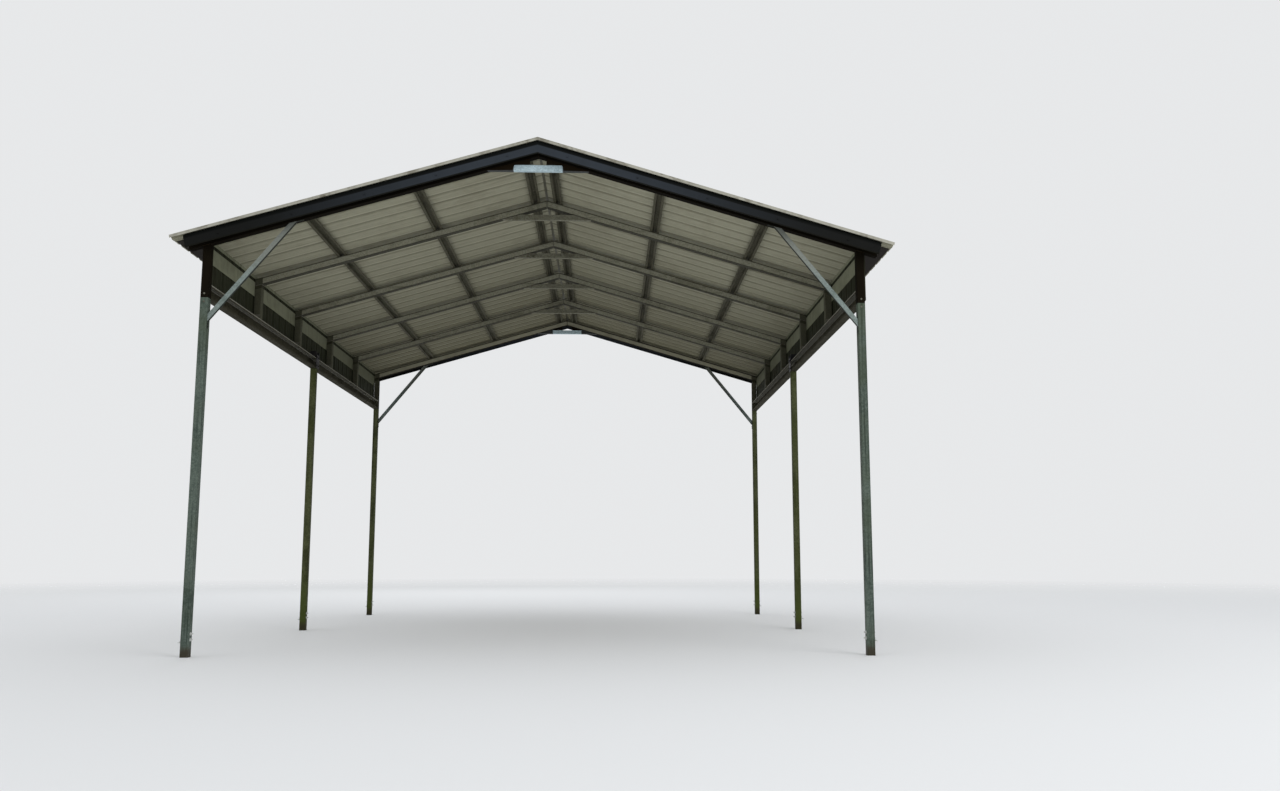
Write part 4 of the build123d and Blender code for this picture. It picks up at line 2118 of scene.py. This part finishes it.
@dataclass
class PanelDress(Dress):
    """Screws, laps, foot trim and eave angle of the side panels, and the eave strips."""

    side_lap: SideLap = SideLap()
    lap_top_gap: float = 0.004
    foot_row: float = 0.040
    top_row: float = 0.370
    trim_leg: float = 0.026
    trim_wall: float = 0.0012
    angle_leg: float = 0.030
    angle_wall: float = 0.0012
    angle_end_gap: float = 0.004

    def __post_init__(self) -> None:
        """Reads the right panel's box and works out its ribs."""
        low, high = box_corners("right_side_panel")
        self.foot = low[2]
        self.start, self.end = low[1], high[1]
        self.flat = self.places.half_width + PANEL_GAP
        self.feet = rib_feet(self.start, self.end)
        self.outer = self.flat + SHEET_WALL + RIB_HEIGHT

    def top(self, across: float) -> float:
        """Height of the roof sheet's underside over a place across the bay."""
        return self.places.sheet_apex - self.places.slope * across

    def screws(self) -> Shell:
        """Two rows of screws in the pans: into the rail, and into the eave strip.

        Returns:
            The right panel's screws.
        """
        rows = self.foot + np.array([self.foot_row, self.top_row])
        height, along = np.meshgrid(rows, screw_places(self.feet), indexing="ij")
        origins = stacked(self.flat + SHEET_WALL, along, height)
        return fixings(SHEET_SCREW, origins, RIGHTWARDS, self.draws)

    def on_panel(self, along: np.ndarray, out: np.ndarray, height: np.ndarray) -> np.ndarray:
        """Points over the right panel's flat: along it, out of it and at a height."""
        return np.stack([self.flat + out, along, height], axis=-1)

    def laps(self) -> Shell:
        """The upper sheet's edge over every fourth rib, from the foot trim to the roof.

        Returns:
            The right panel's laps.
        """
        head = self.top(self.outer) - self.lap_top_gap
        stations = np.array([self.foot + self.trim_leg, head])
        return self.side_lap.shell(self.feet, stations, self.on_panel)

    def foot_trim(self) -> Shell:
        """Angle round the panel's lower edge, over the open ends of its ribs.

        Returns:
            The closed shell.
        """
        outer = self.outer + SKIN_GAP
        low = self.foot - SKIN_GAP
        inner = self.places.half_width + SKIN_GAP
        line = np.array([[outer, self.foot + self.trim_leg], [outer, low], [inner, low]])
        return upright_sheet(line, self.trim_wall, self.start, self.end)

    def eave_angle(self) -> Shell:
        """Light leg at the head of the right panel, inside it.

        Returns:
            The closed shell.
        """
        outer = self.flat - SKIN_GAP
        head = self.top(outer) - SKIN_GAP
        line = np.array([[outer, head - self.angle_leg], [outer, head]])
        gap = self.angle_end_gap
        return upright_sheet(line, self.angle_wall, self.start + gap, self.end - gap)

    def build(self) -> None:
        """Makes and dresses both side panels."""
        pieces = {
            "eave_angle": (self.eave_angle(), EAVE_STRIP, "eave_strip"),
            "side_panel_screws": (self.screws(), SIDE_PANEL, "side_panel"),
            "side_panel_laps": (self.laps(), SIDE_PANEL, "side_panel"),
            "side_panel_foot_trim": (self.foot_trim(), SIDE_PANEL, "side_panel"),
        }
        for side in Side:
            dress_node(f"{side.label}_side_panel", SIDE_PANEL)
            dress_node(f"{side.label}_eave_strip", EAVE_STRIP)
            self.add_sided(side, pieces)


@dataclass
class BowDress(Dress):
    """Weld beads, peak gussets, tail caps and finishes of the bows and their peak braces."""

    cap_points: int = 48
    cap_radii: tuple[float, ...] = (0.97, 1.0, 0.985, 0.9, 0.86)
    cap_heights: tuple[float, ...] = (-0.0004, 0.0008, 0.0024, 0.003, 0.0024)
    brace_setback: float = 0.008
    gusset_places: tuple[float, ...] = (0.070, 0.200, 0.215, 0.420)
    gusset_feet: tuple[float, ...] = (4.060, 4.058, 4.015)
    gusset_into_rafter: float = 0.006
    gusset_end: float = 0.004
    gusset_setback: tuple[float, float] = (0.002, 0.006)

    def welds(self, bow: str) -> Shell:
        """Beads at a bow's apex, at the heads of its stubs and at its peak brace.

        Args:
            bow: the bow's name.

        Returns:
            One shell with all of its beads.
        """
        places = self.places
        near = places.bow_starts[bow]
        far = near + places.tube
        foot, top = places.rafter_foot_apex, places.rafter_top_apex
        inner, outer = places.stub_inner, places.half_width
        stub_inner, stub_outer = places.rafter_foot(inner), places.rafter_foot(outer)
        brace_low, brace_high = box_corners(f"{bow}_peak_brace")
        brace_end = (foot - brace_low[2]) / places.slope
        brace_head = (foot - brace_high[2]) / places.slope
        web = near + self.brace_setback
        middle = [
            ((0.0, near, foot), (0.0, near, top)),
            ((0.0, far, foot), (0.0, far, top)),
            ((0.0, near, foot), (0.0, far, foot)),
        ]
        right = [
            ((inner, near, stub_inner), (outer, near, stub_outer)),
            ((inner, far, stub_inner), (outer, far, stub_outer)),
            ((inner, near, stub_inner), (inner, far, stub_inner)),
            ((brace_end, web, brace_low[2]), (brace_head, web, brace_high[2])),
        ]
        half = BEAD.seams(right)
        return Shell.joined([BEAD.seams(middle), half, half.on(Side.LEFT)])

    def gusset(self) -> Shell:
        """Plate in the corner between the front bow's right rafter and its peak brace.

        Its upper edge follows the rafter's foot, a little inside it.

        Returns:
            The closed shell.
        """
        reach = np.array(self.gusset_places)
        head = self.places.rafter_foot(reach) + self.gusset_into_rafter
        tip = self.places.rafter_foot(reach[-1]) - self.gusset_end
        upper = np.stack([reach, head], axis=-1)
        lower = np.stack([reach, [*self.gusset_feet, tip]], axis=-1)
        outline = np.concatenate([upper, lower[::-1]])
        stations = self.places.bow_starts["front"] + np.array(self.gusset_setback)
        return folded_shell(swept(outline, stations, upright_points))

    def tail_cap(self, bow: str) -> Shell:
        """Plug in the right tail's end: a rounded square with a domed edge.

        Args:
            bow: the bow's name.

        Returns:
            The closed shell.
        """
        places = self.places
        end = box_corners(f"{bow}_bow")[1][0]
        half = places.tube / 2
        radii = half * np.array(self.cap_radii)
        outlines = [Outline.ROUNDED_SQUARE] * len(radii)
        plug = turned_shell(radii, np.array(self.cap_heights), outlines, self.cap_points)
        height = (places.rafter_top(end) + places.rafter_foot(end)) / 2
        origin = stacked(end, places.bow_starts[bow] + half, height)
        return plug.stamped(seats(origin, RIGHTWARDS))

    def build(self) -> None:
        """Makes and dresses the bows."""
        for bow in INNER_BOW_NAMES:
            dress_node(f"{bow}_bow", INNER_BOW)
            dress_node(f"{bow}_peak_brace", INNER_PEAK_STEEL)
            add_piece(f"{bow}_bow_welds", self.welds(bow), WELD_METAL)
        gusset = self.gusset()
        for gable in Gable:
            bow = gable.label
            dress_node(f"{bow}_bow", GABLE_BOW)
            dress_node(f"{bow}_peak_brace", SKYLIT_PEAK_STEEL)
            add_piece(f"{bow}_bow_welds", self.welds(bow), GUSSET)
            for side in Side:
                stem = f"{bow}_{side.label}"
                add_piece(f"{stem}_tail_cap", self.tail_cap(bow).on(side), CAP_PLASTIC)
                plate = gusset.on(side, gable)
                add_piece(f"{stem}_peak_gusset", plate, GUSSET)


@dataclass
class LegDress(Dress):
    """Posts, rails and what joins them: screws, clips, brackets, saddles and anchors."""

    joint_offset: float = 0.034
    clip_leg: float = 0.042
    clip_width: float = 0.048
    clip_wall: float = 0.003
    clip_screw_share: float = 0.62
    bolt_beside: float = 0.034
    bolt_above: float = 0.046
    saddle_reach: tuple[float, float] = (2.6715, 2.7430)
    saddle_half_length: float = 0.052
    saddle_wall: float = 0.008
    saddle_rise: float = 0.074
    anchor_heights: tuple[float, float] = (0.136, 0.182)
    anchor_clip_height: float = 0.112
    anchor_leg: float = 0.026
    anchor_wall: float = 0.003
    anchor_width_share: float = 0.7
    anchor_stud_share: float = 0.6

    def joint_screws(self) -> Shell:
        """Screws above and below the joint of the front right post and its stub.

        Returns:
            One shell with all four.
        """
        places = self.places
        middle = places.stub_inner + places.tube / 2
        heights = places.post_top + BOTH_WAYS * self.joint_offset
        face = stacked(middle, -places.half_length, heights)
        depth = -places.half_length + places.tube / 2
        flank = stacked(places.half_width, depth, heights)
        in_front = fixings(FRAME_SCREW, face, FRONTWARDS, self.draws)
        return Shell.joined([in_front, fixings(FRAME_SCREW, flank, RIGHTWARDS, self.draws)])

    def stub_clips(self) -> tuple[Shell, Shell]:
        """Angle clips between the right rail and the stubs on it, and their screws.

        Returns:
            The clips, and the screws.
        """
        places = self.places
        middle = places.stub_inner + places.tube / 2
        clip = angle_clip(self.clip_leg, self.clip_width, self.clip_wall)
        out = self.clip_leg * self.clip_screw_share
        level = places.rail_top
        shells, screws = [], []
        for bow in INNER_BOW_NAMES:
            near = places.bow_starts[bow]
            for face, towards in ((near + places.tube, 1.0), (near, -1.0)):
                turned = clip if towards > 0 else clip.mirrored(1)
                offset = (middle, face + towards * SKIN_GAP, level + SKIN_GAP)
                shells.append(turned.moved(offset))
                foot = stacked(middle, face + towards * out, level + self.clip_wall)
                upright = stacked(middle, face + towards * self.clip_wall, level + out)
                screws.append(fixings(FRAME_SCREW, foot, UPWARDS, self.draws))
                screws.append(fixings(FRAME_SCREW, upright, -towards * FRONTWARDS, self.draws))
        return Shell.joined(shells), Shell.joined(screws)

    def bracket_bolts(self) -> Shell:
        """Four bolts on the plate at the head of the right middle post.

        Returns:
            One shell with all four.
        """
        low, high = box_corners("right_middle_bracket")
        centre = (low + high) / 2
        beside = BOTH_WAYS * self.bolt_beside
        above = BOTH_WAYS * self.bolt_above
        along, height = np.meshgrid(centre[1] + beside, centre[2] + above, indexing="ij")
        return fixings(PLATE_BOLT, stacked(low[0], along, height), LEFTWARDS, self.draws)

    def saddle(self) -> Shell:
        """Channel on the right rail over the middle post: a flat with an ear at each end.

        Returns:
            The closed shell.
        """
        half = self.saddle_half_length
        level = self.places.rail_top + SKIN_GAP
        head = level + self.saddle_rise
        line = np.array([[-half, head], [-half, level], [half, level], [half, head]])
        stations = np.array(self.saddle_reach)
        return folded_sheet(line, self.saddle_wall, stations, endwise_points)

    def anchor(self, post: str) -> Shell:
        """Two through bolts and an anchor clip near the foot of a right post.

        Args:
            post: the post's name.

        Returns:
            One shell with the bolts, the clip and its stud.
        """
        low, high = box_corners(f"{post}_right_post")
        along = (low[1] + high[1]) / 2
        heights = np.array(self.anchor_heights)
        inner = stacked(low[0], along, heights)
        outer = stacked(high[0], along, heights)
        width = self.places.tube * self.anchor_width_share
        clip = angle_clip(self.anchor_leg, width, self.anchor_wall)
        stand = np.eye(4)
        stand[:3, :3] = np.array([[0.0, 1.0, 0.0], [-1.0, 0.0, 0.0], [0.0, 0.0, 1.0]])
        stand[:3, 3] = (high[0] + SKIN_GAP, along, self.anchor_clip_height)
        reach = high[0] + self.anchor_leg * self.anchor_stud_share
        stud = stacked(reach, along, self.anchor_clip_height + self.anchor_wall)
        return Shell.joined(
            [
                fixings(ANCHOR_NUT, inner, LEFTWARDS, self.draws),
                fixings(PLATE_BOLT, outer, RIGHTWARDS, self.draws),
                clip.stamped(stand[None]),
                fixings(FRAME_SCREW, stud, UPWARDS, self.draws),
            ]
        )

    def build(self) -> None:
        """Makes and dresses the posts, rails, brackets and anchors."""
        joints = self.joint_screws()
        clips, clip_screws = self.stub_clips()
        pieces = {
            "bracket_bolts": (self.bracket_bolts(), BRACKET, "bracket_steel"),
            "middle_saddle": (self.saddle(), BRACKET, "bracket_steel"),
            "stub_clips": (clips, INNER_FIXING, "rail_steel"),
            "stub_clip_screws": (clip_screws, INNER_FIXING, "rail_steel"),
        }
        anchors = {post: self.anchor(post) for post in POST_NAMES}
        for side in Side:
            stem = side.label
            dress_node(f"{stem}_header_rail", RAIL)
            dress_node(f"{stem}_middle_bracket", BRACKET)
            self.add_sided(side, pieces)
            for gable in Gable:
                name = f"{gable.label}_{stem}_joint_screws"
                add_piece(name, joints.on(side, gable), INNER_FIXING)
            for post in POST_NAMES:
                finish = POST if post == "front" else MOSSY_SHADED_POST
                dress_node(f"{post}_{stem}_post", finish)
                name = f"{post}_{stem}_anchor"
                add_piece(name, anchors[post].on(side), FIXING_ZINC)


@dataclass
class KneeDress(Dress):
    """Folded end tabs and screws of the four knee braces."""

    tab_length: float = 0.052
    tab_wall: float = 0.0025
    screw_places: tuple[float, float] = (0.3, 0.75)

    def tab(self, start: np.ndarray, end: np.ndarray, normal: np.ndarray) -> Shell:
        """Flat tab on a tube, with its two screws.

        Args:
            start: the tab's end at the brace, in the middle of its width.
            end: its free end.
            normal: the outward normal of the tube's face.

        Returns:
            One shell with the tab and its screws.
        """
        low, high = box_corners("front_right_knee_brace")
        half = (high[1] - low[1]) / 2
        line = np.stack([start, end]) + normal * SKIN_GAP
        faces = np.concatenate([line, (line + normal * self.tab_wall)[::-1]])
        widths = BOTH_WAYS * half
        rings = faces[None] + widths[:, None, None] * REARWARDS
        shares = np.array(self.screw_places)[:, None]
        origins = start + shares * (end - start) + normal * self.tab_wall
        screws = fixings(FRAME_SCREW, origins, normal, self.draws)
        return Shell.joined([folded_shell(rings), screws])

    def build(self) -> None:
        """Makes and dresses the knee braces."""
        places = self.places
        low, high = box_corners("front_right_knee_brace")
        along = (low[1] + high[1]) / 2
        down = -UPWARDS * self.tab_length
        post_start = np.array([places.stub_inner, along, low[2]])
        post_tab = self.tab(post_start, post_start + down, LEFTWARDS)
        uphill = np.array([-places.cosine, 0.0, places.sine]) * self.tab_length
        rafter_start = np.array([low[0], along, places.rafter_foot(low[0])])
        rafter_tab = self.tab(rafter_start, rafter_start + uphill, -places.roof_normal)
        tabs = Shell.joined([post_tab, rafter_tab])
        for gable in Gable:
            for side in Side:
                stem = f"{gable.label}_{side.label}_knee_brace"
                dress_node(stem, KNEE_STEEL)
                add_piece(f"{stem}_tabs", tabs.on(side, gable), KNEE_STEEL)


@dataclass(frozen=True)
class PhotoCamera:
    """Camera at the photograph's viewing angle, for a picture of 1280 by 791 pixels."""

    image_width: float = 1280.0
    sensor_width: float = 36.0
    focal_pixels: float = 985.7
    place: Triple = (0.5968, -11.0200, 0.7572)
    turned_right: float = 1.880
    tilted_up: float = 7.292
    shift_up: float = 0.03
    clip_end: float = 400.0
    level: float = 90.0

    def build(self) -> None:
        """Creates the camera and makes it the scene's."""
        data = bpy.data.cameras.new("photo_camera")
        data.sensor_width = self.sensor_width
        data.lens = self.focal_pixels / self.image_width * self.sensor_width
        data.shift_y = self.shift_up
        data.clip_end = self.clip_end
        camera = bpy.data.objects.new("photo_camera", data)
        camera.location = self.place
        turn = (math.radians(self.level + self.tilted_up), 0.0, -math.radians(self.turned_right))
        camera.rotation_euler = Euler(turn)
        bpy.context.scene.collection.objects.link(camera)
        bpy.context.scene.camera = camera


@dataclass(frozen=True)
class SoftLamp:
    """A square studio lamp that looks at a point."""

    name: str
    place: Triple
    target: Triple
    size: float
    power: float
    colour: Colour = (1.0, 1.0, 1.0)

    def build(self) -> None:
        """Creates the lamp."""
        data = bpy.data.lights.new(self.name, "AREA")
        data.shape = "SQUARE"
        data.size = self.size
        data.energy = self.power
        data.color = self.colour
        lamp = bpy.data.objects.new(self.name, data)
        lamp.location = self.place
        view = np.array(self.target) - np.array(self.place)
        turn = math.atan2(-view[0], view[1])
        tilt = math.atan2(math.hypot(view[0], view[1]), -view[2])
        lamp.rotation_euler = Euler((tilt, 0.0, turn))
        bpy.context.scene.collection.objects.link(lamp)


@dataclass(frozen=True)
class Studio:
    """Plain pale floor, pale surroundings and soft lamps."""

    backdrop: Colour = (0.80, 0.81, 0.82)
    daylight: Colour = (0.96, 0.98, 1.0)
    daylight_strength: float = 0.86
    floor_colour: Colour = (0.78, 0.785, 0.79)
    floor_radius: float = 90.0
    floor_points: int = 96
    floor_roughness: float = 0.9
    floor_specular: float = 0.1
    floor_fade: tuple[float, float] = (8.0, 34.0)
    lamps: tuple[SoftLamp, ...] = (
        SoftLamp("key_lamp", (9.0, -12.0, 8.5), (0.0, 0.0, 2.5), size=7.0, power=580.0),
        SoftLamp("fill_lamp", (-11.0, -9.0, 6.5), (0.0, 0.0, 2.5), size=7.0, power=95.0),
        SoftLamp("rear_lamp", (-3.0, 14.0, 9.0), (0.0, 0.0, 3.0), size=8.0, power=260.0),
    )

    def build_world(self) -> None:
        """Daylight all round, which the camera and mirror-like surfaces see as the backdrop."""
        world = bpy.data.worlds.new("studio")
        world.use_nodes = True
        bpy.context.scene.world = world
        board = NodeBoard(world.node_tree)
        light = world.node_tree.nodes["Background"]
        light.inputs["Color"].default_value = opaque(self.daylight)
        light.inputs["Strength"].default_value = self.daylight_strength
        inputs = {"Color": opaque(self.backdrop), "Strength": 1.0}
        seen = board.node("ShaderNodeBackground", inputs)
        rays = board.node("ShaderNodeLightPath").outputs
        shown = board.maths("MAXIMUM", rays["Is Camera Ray"], rays["Is Glossy Ray"])
        shown = board.maths("MAXIMUM", shown, rays["Is Transmission Ray"])
        board.shade_between(shown, light, seen, "World Output")

    def build_floor(self) -> None:
        """A round floor that fades into the backdrop far from the carport."""
        rim = np.column_stack([circle(self.floor_points), np.zeros(self.floor_points)])
        mesh = bpy.data.meshes.new("studio_floor")
        mesh.from_pydata((rim * self.floor_radius).tolist(), [], [list(range(len(rim)))])
        floor = bpy.data.objects.new("studio_floor", mesh)
        bpy.context.scene.collection.objects.link(floor)
        material = bpy.data.materials.new("studio_floor")
        material.use_nodes = True
        board = NodeBoard(material.node_tree)
        shader = material.node_tree.nodes["Principled BSDF"]
        shader.inputs["Base Color"].default_value = opaque(self.floor_colour)
        shader.inputs["Roughness"].default_value = self.floor_roughness
        shader.inputs["Specular IOR Level"].default_value = self.floor_specular
        place = board.node("ShaderNodeTexCoord").outputs["Object"]
        reach = board.node("ShaderNodeVectorMath", {0: place}, operation="LENGTH").outputs["Value"]
        near, far = self.floor_fade
        faded = board.ranged(reach, near, far)
        clear = board.node("ShaderNodeBsdfTransparent")
        board.shade_between(faded, shader, clear, "Material Output")
        mesh.materials.append(material)

    def build(self) -> None:
        """Builds the world, the floor and the lamps."""
        self.build_world()
        self.build_floor()
        for lamp in self.lamps:
            lamp.build()


def main() -> None:
    """Builds the dressed carport, its studio and its camera, in order."""
    logging.basicConfig(level=logging.INFO, format="%(name)s: %(message)s")
    draws = np.random.default_rng(SEED)
    places = FrameMap()
    for dress in (BowDress, LegDress, KneeDress, RoofDress, RidgeDress, RakeDress, PanelDress):
        dress(places, draws).build()
    Studio().build()
    PhotoCamera().build()
    bpy.context.scene.view_settings.view_transform = "Standard"


if __name__ == "__main__":
    main()
